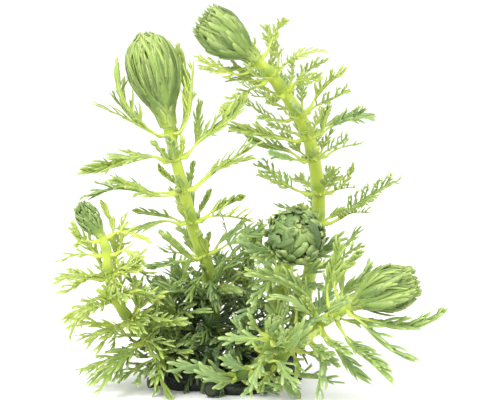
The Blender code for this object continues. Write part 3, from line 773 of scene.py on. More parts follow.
@functools.cache
def living_tint_group():
    """The colour of plant tissue: from old over grown to young by its tone, which on leaves and buds
    also carries painted shade, with a blue-green bloom, a painted highlight along the rims and a fine
    mottle. It also gives the height of the mottle for a bump."""
    tree = bpy.data.node_groups.new("living_tint", "ShaderNodeTree")
    sockets = tree.interface
    for name in ("Old", "Grown", "Young", "Blue", "Pale"):
        sockets.new_socket(name, in_out="INPUT", socket_type="NodeSocketColor")
    for name in ("Tone", "Bloom", "Rim", "Mottle", "Grain"):
        sockets.new_socket(name, in_out="INPUT", socket_type="NodeSocketFloat")
    sockets.new_socket("Colour", in_out="OUTPUT", socket_type="NodeSocketColor")
    sockets.new_socket("Height", in_out="OUTPUT", socket_type="NodeSocketFloat")
    nodes = Nodes(tree)
    source = nodes.add("NodeGroupInput")
    place = nodes.add("ShaderNodeTexCoord").outputs["Object"]
    grain = nodes.add(
        "ShaderNodeTexNoise", {"Vector": place, "Scale": source.outputs["Grain"], "Detail": 3.0}
    )
    patch = nodes.add("ShaderNodeTexNoise", {"Vector": place, "Scale": PATCH_SCALE, "Detail": 2.0})
    both = nodes.math("ADD", grain.outputs["Fac"], patch.outputs["Fac"])
    shift = nodes.math("MULTIPLY", nodes.math("SUBTRACT", both, 1.0), source.outputs["Mottle"])
    tone = nodes.math("ADD", source.outputs["Tone"], shift, clamp=True)
    lower = nodes.math("MULTIPLY", tone, 2.0, clamp=True)
    upper = nodes.math("MULTIPLY_ADD", tone, 2.0, -1.0, clamp=True)
    colour = nodes.mix(lower, source.outputs["Old"], source.outputs["Grown"])
    colour = nodes.mix(upper, colour, source.outputs["Young"])
    colour = nodes.mix(source.outputs["Bloom"], colour, source.outputs["Blue"])
    # Painted highlight: the pale colour mixed in along the rims and ends
    colour = nodes.mix(source.outputs["Rim"], colour, source.outputs["Pale"])
    nodes.add("NodeGroupOutput", {"Colour": colour, "Height": grain.outputs["Fac"]})
    return tree


@dataclass
class Finish:
    """How a plant surface takes the light."""

    roughness: float
    mottle: float  # how far the tone wanders
    grain: float  # of the mottle, per metre
    bump: float
    relief: float  # depth of the bump, millimetres
    rim: float  # how strong the painted highlight along the rims and ends is
    rim_falloff: float = 6.0
    end_falloff: float = 4.0
    glow: float = 0.2  # light that passes through the tissue
    glow_radius: tuple = (0.6, 1.0, 0.25)
    glow_scale: float = 0.6  # millimetres
    specular: float = 0.3
    coat: float = 0.0
    coat_roughness: float = 0.3


LEAF_FINISH = Finish(roughness=0.5, mottle=0.35, grain=900.0, bump=0.35, relief=0.08, rim=0.75)
BUD_FINISH = Finish(
    roughness=0.5, mottle=0.4, grain=700.0, bump=0.4, relief=0.1, rim=0.6, coat=0.05
)
STEM_FINISH = Finish(
    roughness=0.4, mottle=0.35, grain=260.0, bump=0.2, relief=0.1, rim=0.45, rim_falloff=2.5,
    coat=0.1
)
ROOT_FINISH = Finish(
    roughness=0.6, mottle=0.9, grain=420.0, bump=0.9, relief=0.35, rim=0.35, glow=0.0, coat=0.2
)


def living_material(name, settings, finish):
    """A material of plant tissue, tinted by the tone and bloom that the mesh carries, and with a
    painted highlight along the edges and ends that it carries too.
    """
    material, nodes, shader = new_material(name)

    def carried(attribute):
        return nodes.add("ShaderNodeAttribute", attribute_name=attribute).outputs["Fac"]

    tone = carried("tone")
    # Painted highlight: the pale colour along the rims and at the ends, fading where the tone is low
    rims = nodes.math("POWER", carried("edge"), finish.rim_falloff)
    ends = nodes.math("POWER", carried("tip"), finish.end_falloff)
    rim = nodes.math("MULTIPLY", nodes.math("MAXIMUM", rims, ends), finish.rim)
    painted_rim_highlight = nodes.math("MULTIPLY", rim, nodes.math("MULTIPLY", tone, 2.0, clamp=True))
    tints = {
        socket: (*getattr(settings, socket.lower()), 1.0)
        for socket in ("Old", "Grown", "Young", "Blue", "Pale")
    }
    tints.update({"Tone": tone, "Bloom": carried("bloom"), "Rim": painted_rim_highlight})
    tints.update({"Mottle": finish.mottle, "Grain": finish.grain})
    tint = nodes.add("ShaderNodeGroup", node_tree=living_tint_group())
    nodes.feed_each(tint, tints)
    bump = nodes.add(
        "ShaderNodeBump",
        {"Height": tint.outputs["Height"], "Strength": finish.bump, "Distance": finish.relief * MM}
    )
    nodes.feed_each(shader, {
        "Base Color": tint.outputs["Colour"],
        "Normal": bump,
        "Roughness": finish.roughness,
        "Specular IOR Level": finish.specular,
        "Subsurface Weight": finish.glow,
        "Subsurface Radius": finish.glow_radius,
        "Subsurface Scale": finish.glow_scale * MM,
        "Coat Weight": finish.coat,
        "Coat Roughness": finish.coat_roughness,
    })
    return material


# Growing things along paths

GROUND_GAP = 0.05  # millimetres between the ground and a path's skin


class Growth:
    """Collects the paths and bodies of one piece, with what each of their points carries."""

    def __init__(self):
        self.points = []
        self.ups = []
        self.edges = []
        self.faces = []
        self.carried = {"half_width": [], "tone": [], "bloom": [], "tip": []}
        self.form = []

    def add(self, form, points, ups, half_widths, tone, bloom=0.0, tip=0.0):
        start = len(self.points)
        count = len(points)
        points = np.array(points, float)
        if form != BODY:
            lowest = np.broadcast_to(half_widths, count) + GROUND_GAP
            points[:, 2] = np.maximum(points[:, 2], lowest)
        self.points += list(points * MM)
        self.ups += list(ups)
        self.form += [form] * count
        values = (np.asarray(half_widths) * MM, tone, bloom, tip)
        for name, value in zip(self.carried, values):
            self.carried[name] += list(np.broadcast_to(value, count))
        if form != BODY:
            self.edges += [(start + i, start + i + 1) for i in range(count - 1)]
        return start

    def add_body(self, mesh, tone, bloom=0.0, tip=0.0):
        """A closed body whose mesh is in metres."""
        points = [np.array(vert.co) / MM for vert in mesh.vertices]
        ups = [np.array(vert.normal) for vert in mesh.vertices]
        start = self.add(BODY, points, ups, 1.0, tone, bloom, tip)
        self.faces += [[start + i for i in face.vertices] for face in mesh.polygons]
        bpy.data.meshes.remove(mesh)

    def grow(self, name, sides, depths, material):
        """The finished piece: tubes and blades made round the paths, as one plain mesh."""
        mesh = bpy.data.meshes.new(name)
        mesh.from_pydata(self.points, self.edges, self.faces)
        for key, values in self.carried.items():
            mesh.attributes.new(key, "FLOAT", "POINT").data.foreach_set("value", values)
        mesh.attributes.new("form", "INT", "POINT").data.foreach_set("value", self.form)
        ups = mesh.attributes.new("up", "FLOAT_VECTOR", "POINT")
        ups.data.foreach_set("vector", np.array(self.ups, np.float32).ravel())
        obj = new_object(name, mesh)
        modifier = obj.modifiers.new("growth", "NODES")
        modifier.node_group = slender_forms_tree()
        wanted = {"Sides": sides, "Material": material}
        wanted.update({f"{form} depth": depth for form, depth in zip(FORMS, depths)})
        for socket in modifier.node_group.interface.items_tree:
            if socket.name in wanted:
                modifier[socket.identifier] = wanted[socket.name]
        graph = bpy.context.evaluated_depsgraph_get()
        grown = bpy.data.meshes.new_from_object(obj.evaluated_get(graph))
        obj.modifiers.remove(modifier)
        obj.data = grown
        grown.name = name
        bpy.data.meshes.remove(mesh)
        for helper in ("half_width", "form", "up"):
            attribute = grown.attributes.get(helper)
            if attribute is not None:
                grown.attributes.remove(attribute)
        return obj


def hand_over(obj, slot, *nodes):
    """The piece rides on the plant and stands for its solids. The finish slot that it is handed is not
    used.
    """
    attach(obj, "root")
    if nodes:
        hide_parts(*nodes)
    return obj


# Leaves

# Half widths along a lobe, against its usual one
BLUNT = (1.25, 1.0, 1.0, 1.08, 0.86, 0.25)
SLIM = (1.2, 1.0, 0.95, 0.84, 0.6, 0.18)
STRAPS = (0.9, 1.0, 1.0, 0.92, 0.66, 0.2)
OVALS = (0.75, 1.0, 1.15, 1.05, 0.74, 0.25)


@dataclass
class Blade:
    """One way in which the blade of a leaf is cut."""

    pairs: tuple  # fewest and most lobes on a side
    web: float  # half width of the web, as a share of the blade's
    lobe: float  # half width of a lobe, against the usual one
    spread: tuple  # degrees between lobe and midrib, at the blade's foot and near its tip
    reach: float  # how far out the lobes come, as a share of the planned outline
    teeth: float  # teeth on a lobe, on average
    end: float  # half width of the end lobe, against the usual lobe
    widths: tuple  # half widths along a lobe
    longest: float = 0.3  # of the lobes, as a share of the leaf's length


# Broad blunt fingers
PARSLEY = Blade(
    pairs=(4, 5), web=0.34, lobe=1.35, spread=(42, 22), reach=1.15, teeth=0.5, end=1.7,
    widths=BLUNT, longest=0.38
)
# Many fine toothed lobes
LACY = Blade(
    pairs=(5, 7), web=0.13, lobe=0.95, spread=(48, 28), reach=1.0, teeth=2.7, end=1.4,
    widths=SLIM
)
# A narrow blade with a sawn edge
SAW = Blade(
    pairs=(6, 8), web=0.28, lobe=1.25, spread=(36, 22), reach=0.64, teeth=0.3, end=2.0,
    widths=SLIM
)
# A narrow blade with shallow cuts
STRAP = Blade(
    pairs=(5, 6), web=0.34, lobe=1.5, spread=(30, 18), reach=0.62, teeth=0.3, end=2.1,
    widths=SLIM
)
# A few forked lobes
FORKED = Blade(
    pairs=(3, 5), web=0.26, lobe=1.5, spread=(34, 20), reach=0.85, teeth=1.3, end=1.8,
    widths=SLIM
)
# A slender young blade
SLENDER = Blade(
    pairs=(3, 4), web=0.2, lobe=1.5, spread=(24, 14), reach=0.6, teeth=0.5, end=1.7,
    widths=SLIM
)
# Long toothed lobes
LUSH = Blade(
    pairs=(4, 5), web=0.2, lobe=1.2, spread=(42, 24), reach=1.2, teeth=1.3, end=1.5,
    widths=SLIM, longest=0.4
)
# Long plain lobes
RIBBONS = Blade(
    pairs=(4, 5), web=0.12, lobe=1.4, spread=(38, 20), reach=1.25, teeth=0.2, end=1.4,
    widths=SLIM, longest=0.42
)


@dataclass
class Habit:
    """How the leaves of one shoot grow."""

    blades: tuple  # the cuts that occur in the upper half
    top_blades: tuple  # the cuts of the leaves right below the bud
    low_blades: tuple  # the cuts in the lower half
    level: tuple  # how far the blades lie level and don't face the light, least and most
    fold: tuple  # degrees that the lobes rise out of the blade, least and most
    tone: tuple  # of the top whorl and of the lowest
    bloom: tuple  # least and most of the blue-green bloom
    look: float  # how far the blades turn to the viewer
    young: int  # short young leaves that each whorl has besides
    young_length: tuple = (0.5, 0.85)  # as a share of the shoot's usual leaf, least and most
    first_young: int = 2  # the first whorl that has young leaves
    stem_light: float = 0.0  # how much yellower the stem is than its height tells

    def blades_at(self, whorl):
        """The cuts that occur in a whorl, by its place down the shoot."""
        if whorl["number"] == 1:
            return self.top_blades
        return self.blades if share_down(whorl) < 0.5 else self.low_blades


HABITS = {
    "left_tall": Habit(
        blades=(SAW, SAW, FORKED), top_blades=(SLENDER,), low_blades=(RIBBONS, STRAP, SAW),
        level=(0.1, 0.7), fold=(5, 55), tone=(0.7, 0.52), bloom=(0.0, 0.6), look=0.25, young=3
    ),
    "right_tall": Habit(
        blades=(LACY, LACY, FORKED), top_blades=(SLENDER, LACY), low_blades=(LACY, LACY, SAW),
        level=(0.1, 0.7), fold=(5, 50), tone=(0.8, 0.68), bloom=(0.1, 0.75), look=0.4, young=5,
        young_length=(0.55, 0.95)
    ),
    "left_arching": Habit(
        blades=(LUSH,), top_blades=(SLENDER, LUSH), low_blades=(LUSH, RIBBONS, RIBBONS),
        level=(0.1, 0.5), fold=(5, 40), tone=(0.86, 0.56), bloom=(0.0, 0.3), look=0.45, young=11,
        young_length=(0.7, 1.1), first_young=3, stem_light=0.3
    ),
    "right_low": Habit(
        blades=(STRAP, SAW), top_blades=(SLENDER, STRAP), low_blades=(PARSLEY,),
        level=(0.0, 0.4), fold=(5, 40), tone=(0.74, 0.54), bloom=(0.1, 0.8), look=0.45, young=2,
        stem_light=0.35
    ),
    "centre": Habit(
        blades=(PARSLEY, LUSH), top_blades=(PARSLEY,), low_blades=(PARSLEY, RIBBONS),
        level=(0.0, 0.5), fold=(0, 25), tone=(0.52, 0.38), bloom=(0.3, 0.9), look=0.45, young=1,
        first_young=1, stem_light=0.2
    ),
    "front_creeping": Habit(
        blades=(PARSLEY,), top_blades=(PARSLEY,), low_blades=(PARSLEY,),
        level=(0.0, 0.15), fold=(0, 8), tone=(0.58, 0.5), bloom=(0.4, 0.9), look=0.35, young=0
    ),
    "left_short": Habit(
        blades=(LUSH, STRAP), top_blades=(LUSH,), low_blades=(RIBBONS,),
        level=(0.1, 0.8), fold=(0, 45), tone=(0.66, 0.5), bloom=(0.0, 0.4), look=0.3, young=5,
        young_length=(0.6, 1.1)
    ),
    "rear_short": Habit(
        blades=(LACY, FORKED), top_blades=(LACY,), low_blades=(RIBBONS,),
        level=(0.2, 0.8), fold=(0, 45), tone=(0.5, 0.3), bloom=(0.1, 0.5), look=0.0, young=1
    ),
}
OLD_HABIT = Habit(
    blades=(), top_blades=(), low_blades=(RIBBONS, RIBBONS, STRAP),
    level=(0.0, 1.0), fold=(-30, 40), tone=(0.62, 0.42), bloom=(0.1, 0.5), look=0.2, young=0
)

MIDRIB_POINTS = 15
SWAY = 0.045  # how far a midrib sways, as a share of the leaf's length
TWIST = math.radians(40)  # most that a blade turns round its midrib on the way to the tip
FIRST_LOBE, LAST_LOBE = 0.33, 0.9  # where the lobes begin and end, along the leaf
END_LOBE_FROM = 0.8  # where the end lobe begins, along the leaf
STALK_TAPER = 0.68  # share of the stalk's half width that is lost at the tip
STALK_FLARE = 0.7  # how much wider the sheath at the stem is
FLARE_LENGTH = 0.05  # of the sheath, as a share of the leaf
STALK_GAIN, STALK_LIFT = 1.25, 0.04  # how much lighter than its blade a stalk is
FOOT_LIGHT, FOOT_FADE = 0.3, 0.35  # how much lighter it is at the stem, and how far that reaches
STALK_BLOOM = 0.3  # of the blade's bloom
WEB_FIRST, WEB_LAST = 0.2, 0.985  # where the web begins and ends, along the leaf
WEB_AHEAD = 0.03  # how far the web's outline runs ahead of the planned one
WEB_LEAST = 0.3  # half width of the narrowest web, against the stalk's
LEAST_PAIRS = 3
MOST_GROWN = 1.25  # most lobes of a long leaf, against the usual number
ALTERNATION = 0.22  # how far the lobes of a pair stand apart, in steps from pair to pair
PAIR_SWING = 0.2  # how far a lobe stands off its place, in the same steps
OUTLINE_AHEAD, OUTLINE_LAST = 0.1, 0.97  # place of the outline that a lobe grows out to
REACHES = (0.75, 1.15)  # of a lobe, against the outline, least and most
LONGEST_SHARES = (0.85, 1.0)  # of the longest lobe that a leaf may have, least and most
BREADTHS = (0.85, 1.15)  # of a lobe, least and most
SPREAD_SWING, FOLD_SWING = 7, 12  # degrees by which a lobe is turned and folded by chance
LOBE_TONES = 0.1  # how far the tone of a lobe is off that of its leaf
LEAST_SPREAD = 0.22  # radians
SHORTEST_TOOTHED = 2.0  # millimetres
# Places along a lobe and along its tooth
LOBE_SHARES = (0.0, 0.2, 0.45, 0.7, 0.88, 1.0)
TOOTH_SHARES = (0.0, 0.4, 0.8, 1.0)
TOOTH_WIDTHS = (0.8, 0.72, 0.5, 0.14)
TOOTH_STARTS = (1, 2, 3)  # points of the lobe that a tooth can grow from
TOOTH_LENGTHS = (0.26, 0.42)  # as a share of the lobe's, least and most
TOOTH_ANGLES = (30, 46)  # degrees between tooth and lobe, least and most
END_WIDTHS = (0.5, 0.9, 1.0, 0.8, 0.45, 0.12)
LOBE_CURVE = math.radians(20)  # how far a lobe turns towards the leaf's tip
DROOP = (0, 40)  # degrees that a lobe sinks along its length, least and most


class Midrib:
    """The midrib of one leaf, with the sway, turn and twist that the single leaf takes."""

    def __init__(self, leaf, habit, rng):
        self.shares = np.linspace(0, 1, MIDRIB_POINTS)
        side, up = leaf.frame(0.5)[1:]
        waves = [SWAY * leaf.length * rng.uniform(-1, 1) for _ in range(4)]
        slow, fast = np.sin(np.pi * self.shares), np.sin(2 * np.pi * self.shares)
        self.points = np.array([leaf.point(s) for s in self.shares])
        self.points += np.outer(waves[0] * slow + waves[1] * fast, side)
        self.points += np.outer(waves[2] * slow + waves[3] * fast, up)
        ways = np.gradient(self.points, axis=0)
        level = rng.uniform(*habit.level)
        twist = wander(rng, TWIST)
        self.frames = []
        for share, way in zip(self.shares, ways):
            along = unit(way)
            face = unit((1 - level) * leaf.face + level * np.array([0, 0, 1.0]))
            face = unit((1 - habit.look) * face + habit.look * unit(VIEWER))
            across = unit(np.cross(along, face))
            out = np.cross(across, along)
            turn = twist * share
            self.frames.append(
                (along, math.cos(turn) * across + math.sin(turn) * out,
                 math.cos(turn) * out - math.sin(turn) * across)
            )

    def point(self, s):
        return np.array([np.interp(s, self.shares, self.points[:, k]) for k in range(3)])

    def frame(self, s):
        i = min(int(s * (MIDRIB_POINTS - 1)), MIDRIB_POINTS - 2)
        mix = s * (MIDRIB_POINTS - 1) - i
        before, after = self.frames[i], self.frames[i + 1]
        return [unit((1 - mix) * a + mix * b) for a, b in zip(before, after)]

    def strip(self, places):
        """Points and upward directions at some places along the midrib."""
        return [self.point(s) for s in places], [self.frame(s)[2] for s in places]


def bent_path(start, along, across, up, length, shares, spread, curve, lift, droop):
    """Points and upward directions of a lobe that leaves the midrib at an angle, turns towards
    the tip, and sinks."""
    place = np.array(start)
    points = [place]
    ups = []
    for before, after in zip(shares, shares[1:]):
        middle = (before + after) / 2
        turn = spread - curve * middle
        slope = lift - droop * middle
        flat = math.cos(turn) * along + math.sin(turn) * across
        way = math.cos(slope) * flat + math.sin(slope) * up
        place = place + way * length * (after - before)
        points.append(place)
        ups.append(math.cos(slope) * up - math.sin(slope) * flat)
    return points, [ups[0], *ups]


def add_teeth(growth, points, ups, length, broad, teeth, tone, bloom, rng):
    """Small teeth that fork off a lobe."""
    for start in rng.sample(TOOTH_STARTS, min(int(teeth + rng.random()), len(TOOTH_STARTS))):
        way = unit(points[start + 1] - points[start])
        out = unit(np.cross(way, ups[start])) * rng.choice((-1, 1))
        size = length * rng.uniform(*TOOTH_LENGTHS)
        tooth, tooth_ups = bent_path(
            points[start], way, out, ups[start], size, TOOTH_SHARES,
            math.radians(rng.uniform(*TOOTH_ANGLES)), LOBE_CURVE, 0, 0
        )
        growth.add(
            LOBE, tooth, tooth_ups, broad * np.array(TOOTH_WIDTHS), tone, bloom,
            np.array(TOOTH_SHARES)
        )


def add_stalk(growth, midrib, root, half_width, tone, bloom):
    """The stalk of a leaf, from inside the stem along the whole midrib."""
    shares = midrib.shares
    flare = STALK_FLARE * np.exp(-shares / FLARE_LENGTH)
    widths = half_width * (1 - STALK_TAPER * shares + flare)
    ups = [frame[2] for frame in midrib.frames]
    light = FOOT_LIGHT * np.exp(-shares / FOOT_FADE)
    stalk_tone = np.clip(tone * STALK_GAIN + STALK_LIFT + light, 0, 1)
    growth.add(
        STALK, [root, *midrib.points], [ups[0], *ups], [widths[0], *widths],
        [stalk_tone[0], *stalk_tone], bloom * STALK_BLOOM
    )


def add_leaf(growth, leaf, root, habit, blades, tone, bloom, sizes, rng):
    """One pinnate leaf: its stalk from inside the stem, the web along the midrib, and pairs of
    slender lobes."""
    blade = rng.choice(blades)
    midrib = Midrib(leaf, habit, rng)
    fold = math.radians(rng.uniform(*habit.fold))
    droop = math.radians(rng.uniform(*DROOP))
    petiole = sizes.petiole / MM
    add_stalk(growth, midrib, root, petiole, tone, bloom)
    places = np.linspace(WEB_FIRST, WEB_LAST, MIDRIB_POINTS)
    outline = np.array([blade_outline(s + WEB_AHEAD) for s in places])
    web = petiole * WEB_LEAST + blade.web * leaf.half_width * outline
    growth.add(WEB, *midrib.strip(places), web, tone, bloom)
    grown = min(leaf.length / sizes.usual_length * MM, MOST_GROWN)
    count = max(LEAST_PAIRS, round(rng.randint(*blade.pairs) * grown))
    lobe = sizes.lobe / MM * blade.lobe
    for i in range(count):
        for side in (-1, 1):
            share = clamp((i + ALTERNATION * side + wander(rng, PAIR_SWING)) / (count - 1))
            s = FIRST_LOBE + (LAST_LOBE - FIRST_LOBE) * share
            along, across, up = midrib.frame(s)
            spread = math.radians(between(blade.spread, share) + wander(rng, SPREAD_SWING))
            outer = blade_outline(min(s + OUTLINE_AHEAD, OUTLINE_LAST))
            reach = leaf.half_width * outer * blade.reach
            reach *= rng.uniform(*REACHES)
            length = reach / math.sin(max(spread - LOBE_CURVE / 2, LEAST_SPREAD))
            length = min(length, blade.longest * leaf.length * rng.uniform(*LONGEST_SHARES))
            points, ups = bent_path(
                midrib.point(s), along, side * across, up, length, LOBE_SHARES, spread,
                LOBE_CURVE, fold + math.radians(wander(rng, FOLD_SWING)),
                droop + math.radians(wander(rng, FOLD_SWING))
            )
            lobe_tone = clamp(tone + wander(rng, LOBE_TONES))
            broad = lobe * rng.uniform(*BREADTHS)
            growth.add(
                LOBE, points, ups, broad * np.array(blade.widths), lobe_tone, bloom,
                np.array(LOBE_SHARES)
            )
            if length > SHORTEST_TOOTHED:
                add_teeth(growth, points, ups, length, broad, blade.teeth, lobe_tone, bloom, rng)
    end = np.linspace(END_LOBE_FROM, 1.0, len(LOBE_SHARES))
    growth.add(
        LOBE, *midrib.strip(end), lobe * blade.end * np.array(END_WIDTHS), tone, bloom,
        np.array(LOBE_SHARES)
    )


# The deep shade in the low middle of the clump, in millimetres
SHADE_CENTRE, SHADE_REACH = (-2, 3), (15, 17)
SHADE_TOP, SHADE_FADE = 26, 4
SHADE_DEPTH = 0.92  # share of the light that is missing there
LIGHT_PLACE = 0.6  # along a leaf, where its light is told


def leaf_light(place):
    """How light a leaf is by where it stands: the low middle of the clump is in deep shade."""
    across = (place[0] - SHADE_CENTRE[0]) / SHADE_REACH[0]
    deep = (place[1] - SHADE_CENTRE[1]) / SHADE_REACH[1]
    inner = math.exp(-across ** 2 - deep ** 2)
    low = 1 / (1 + math.exp((place[2] - SHADE_TOP) / SHADE_FADE))
    return 1 - SHADE_DEPTH * inner * low


YOUNG_SWING = 0.2  # radians by which a young leaf stands off the middle of its gap
YOUNG_SLOPES = 14  # degrees by which its slope wanders
YOUNG_FACING = 0.4  # how far it faces the viewer
YOUNG_TONES = (-0.1, 0.2)  # against the whorl's, least and most
ANYWHERE = (0, 6)  # radians round a stem
FRONT_SHARE = 0.6  # of the young leaves hang across the front of a shoot that isn't bare there
FRONT_SWING = 1.2  # radians to either side of the front
FRONT_DROOP = 25  # degrees by which those leaves hang lower
LOWEST_TIP = 1.0  # height above the ground, millimetres


def add_young_leaves(growth, shoot, whorl, habit, tone, sizes):
    """Short leaves between the grown ones of a whorl."""
    place, axis = whorl["place"], whorl["axis"]
    used = [leaf.azimuth for leaf in whorl["leaves"]]
    rng = Random(f"{whorl_node(whorl)} young")
    for _ in range(habit.young):
        azimuth = (
            widest_gap(used) + wander(rng, YOUNG_SWING) if used else rng.uniform(*ANYWHERE)
        )
        hangs = not shoot.bare_front and rng.random() < FRONT_SHARE
        if hangs:
            azimuth = FRONT + wander(rng, FRONT_SWING)
        used.append(azimuth)
        slope = between(shoot.rise, share_down(whorl)) + wander(rng, YOUNG_SLOPES)
        way = direction(axis, azimuth, math.radians(slope + FRONT_DROOP * hangs))
        tip = place + way * shoot.length * rng.uniform(*habit.young_length)
        tip[2] = max(tip[2], LOWEST_TIP)
        leaf = leaf_at(
            place, axis, whorl["radius"], azimuth, tip, shoot.breadth, rng, YOUNG_FACING
        )
        bloom = rng.uniform(*habit.bloom)
        leaf_tone = (tone + rng.uniform(*YOUNG_TONES)) * leaf_light(leaf.point(LIGHT_PLACE))
        blades = habit.blades_at(whorl)
        add_leaf(growth, leaf, place, habit, blades, leaf_tone, bloom, sizes, rng)


# Small side buds: shoot, whorl, angle round the stem in degrees, and length in millimetres
SIDE_BUDS = (
    ("left_tall", 2, -150, 2.8), ("left_tall", 3, -130, 2.6), ("left_tall", 2, -100, 1.9),
    ("left_tall", 4, 20, 2.4), ("right_tall", 6, -120, 2.2), ("right_tall", 4, 200, 2.0),
    ("right_low", 2, -60, 2.4), ("centre", 1, -150, 2.8), ("centre", 1, -60, 2.6),
    ("left_arching", 3, 0, 1.9), ("right_low", 4, 60, 2.2),
)
SIDE_BUD_LEAVES = 9
SIDE_BUD_LEAN = 0.75  # how far a side bud leans out of its stem
SIDE_BUD_FOOT = 0.7  # where it starts, as a share of the stem's radius
SIDE_BUD_SWING = 0.3  # radians by which its leaves stand off their places
SIDE_BUD_GIRTHS = (0.2, 0.3)  # its radius, as a share of its length, least and most
SIDE_BUD_ARC = (0.08, 0.83)  # of a half turn that the outline of a leaf follows, from and to
SIDE_BUD_LOBE = 0.2  # half width of its leaves, as a share of its length
SIDE_BUD_BLOOM = 0.2


def add_side_bud(growth, whorl, azimuth, size, tone):
    """A small tuft of young leaves in the angle between stem and leaf."""
    rng = Random(f"{whorl_node(whorl)} side bud {azimuth:.2f}")
    axis = whorl["axis"]
    radial = around(axis, azimuth)
    middle = unit(radial * SIDE_BUD_LEAN + axis)
    foot = whorl["place"] + radial * whorl["radius"] * SIDE_BUD_FOOT
    across = unit(np.cross(middle, axis))
    out = np.cross(across, middle)
    for i in range(SIDE_BUD_LEAVES):
        turn = 2 * math.pi * i / SIDE_BUD_LEAVES + wander(rng, SIDE_BUD_SWING)
        sidewards = math.cos(turn) * across + math.sin(turn) * out
        girth = size * rng.uniform(*SIDE_BUD_GIRTHS)
        shares = np.array(LOBE_SHARES)
        points = [
            foot + middle * size * x
            + sidewards * girth * math.sin(math.pi * between(SIDE_BUD_ARC, x))
            for x in shares
        ]
        growth.add(
            LOBE, points, [sidewards] * len(shares), SIDE_BUD_LOBE * size * np.array(OVALS),
            min(tone + rng.uniform(*YOUNG_TONES), 1), SIDE_BUD_BLOOM, shares
        )


def leaf_material(sizes):
    """The material of all leaves, made once."""
    name = "milfoil_leaf"
    return bpy.data.materials.get(name) or living_material(name, sizes, LEAF_FINISH)


def leaf_depths(sizes):
    return sizes.stalk_depth, sizes.lobe_depth, sizes.web_depth


LEAF_SIDES = 6  # corners of a lobe's cross section
LEAF_TONES = 0.12  # how far the tone of a leaf is off that of its whorl
ROOT_DEPTH = 0.55  # how far a leaf reaches into its stem, as a share of the way to the middle


def make_shoot_leaves(shoot, whorls, material, sizes):
    growth = Growth()
    nodes = []
    habit = HABITS[shoot.name]
    for whorl in whorls:
        whorl_tone = between(habit.tone, share_down(whorl))
        nodes.append(whorl_node(whorl))
        for number, leaf in enumerate(whorl["leaves"]):
            rng = Random(f"{nodes[-1]}_{number}")
            tone = whorl_tone + wander(rng, LEAF_TONES)
            tone *= leaf_light(leaf.point(LIGHT_PLACE))
            bloom = rng.uniform(*habit.bloom)
            root = leaf.base + (whorl["place"] - leaf.base) * ROOT_DEPTH
            blades = habit.blades_at(whorl)
            add_leaf(growth, leaf, root, habit, blades, tone, bloom, sizes, rng)
        if whorl["number"] >= habit.first_young:
            add_young_leaves(growth, shoot, whorl, habit, whorl_tone, sizes)
        for name, number, turn, size in SIDE_BUDS:
            if (name, number) == (shoot.name, whorl["number"]):
                add_side_bud(growth, whorl, math.radians(turn), size, whorl_tone)
    obj = growth.grow(f"{shoot.name}_leaves", LEAF_SIDES, leaf_depths(sizes), material)
    return hand_over(obj, "leaf_green", *nodes)


# Stems

STEM_SLIMNESS = 0.94  # thickness of a stem between its nodes, against its solid
STEM_STRIDE, STEM_POINTS = 4, 14  # planned points for each span, and the points made in it
STEM_OVERLAP = 2.0  # how far a stem reaches into its bud, millimetres
SWELLING_REACH = 1.4  # how far up and down a swelling fades, millimetres
NODE_TONE, NODE_BLOOM = 0.12, 0.45  # how much darker and bluer a node is than its stem
FOOT_TONE, TONE_SPAN = 0.15, 0.85  # of a stem, at the rootstock and from there to the top
RISE_FROM, RISE_SPAN = 9, 60  # heights over which the tone rises, millimetres
LIGHT_FROM, LIGHT_SPAN = 8, 12  # heights over which a stem's own yellow sets in, millimetres
ROUND = (1.0, 1.0, 1.0)  # depths of forms that are as deep as wide


def stem_widths(shoot, path, swelling):
    """Radius of the stem at each point of its path, and how near the point is to a node."""
    steps = np.linalg.norm(np.diff(path, axis=0), axis=1)
    below_top = np.concatenate([np.cumsum(steps[::-1])[::-1], [0]])
    shares = np.linspace(0, 1, len(path))
    radii = np.array([stem_radius(shoot, share) for share in shares])
    at_node = np.zeros(len(path))
    for distance in shoot.nodes:
        at_node = np.maximum(at_node, np.exp(-((below_top - distance) / SWELLING_REACH) ** 2))
    return STEM_SLIMNESS * radii + swelling * at_node, at_node


def make_shoot_stem(shoot, path, material, settings):
    fine = smooth_path(path[::STEM_STRIDE], STEM_POINTS)
    axis = unit(fine[-1] - fine[-2])
    fine = np.vstack([fine, fine[-1] + axis * STEM_OVERLAP])
    radii, at_node = stem_widths(shoot, fine, settings.swelling / MM)
    height = np.clip((fine[:, 2] - RISE_FROM) / RISE_SPAN, 0, 1)
    yellow = np.clip((fine[:, 2] - LIGHT_FROM) / LIGHT_SPAN, 0, 1)
    light = HABITS[shoot.name].stem_light * yellow
    tone = np.clip(FOOT_TONE + TONE_SPAN * np.sqrt(height) + light, 0, 1) - NODE_TONE * at_node
    growth = Growth()
    ups = [stem_frame(unit(after - before))[1]
           for before, after in zip(fine, np.vstack([fine[1:], fine[-1] + axis]))]
    growth.add(STALK, fine, ups, radii, tone, NODE_BLOOM * at_node)
    obj = growth.grow(f"{shoot.name}_living_stem", settings.sides, ROUND, material)
    return hand_over(obj, "stem_green", f"{shoot.name}_stem")


# Buds

@dataclass
class BudForm:
    """How the young leaves of a bud are folded over one another."""

    tiers: tuple  # first and last place of the leaves along the bud, and their number
    pairs: int  # lobes on each side of a young leaf
    lobe: float  # half width of a lobe, millimetres
    run: float  # how far a lobe runs along the bud, millimetres
    spread: float  # half width of a leaf, per radius of the bud
    web: float  # half width of a leaf's web near its foot, per radius of the bud
    puff: float  # how far the lobes' ends stand off the bud, millimetres
    mouth: float  # radius of the bud's open end, per radius of the bud
    widths: tuple  # half widths along a lobe
    bloom: float
    tone: float
    last_lobe: float = 0.6  # where the last lobe starts along a young leaf
    crown: float = 1.6  # how blunt the bud's end is, or 0 for an egg
    size: float = 1.0  # against the planned bud
    notched: bool = False  # each lobe is a puffy scale with a notched rim
    slim_foot: float = 1.0  # above 1, how far the widest place moves up, so that the foot is slim


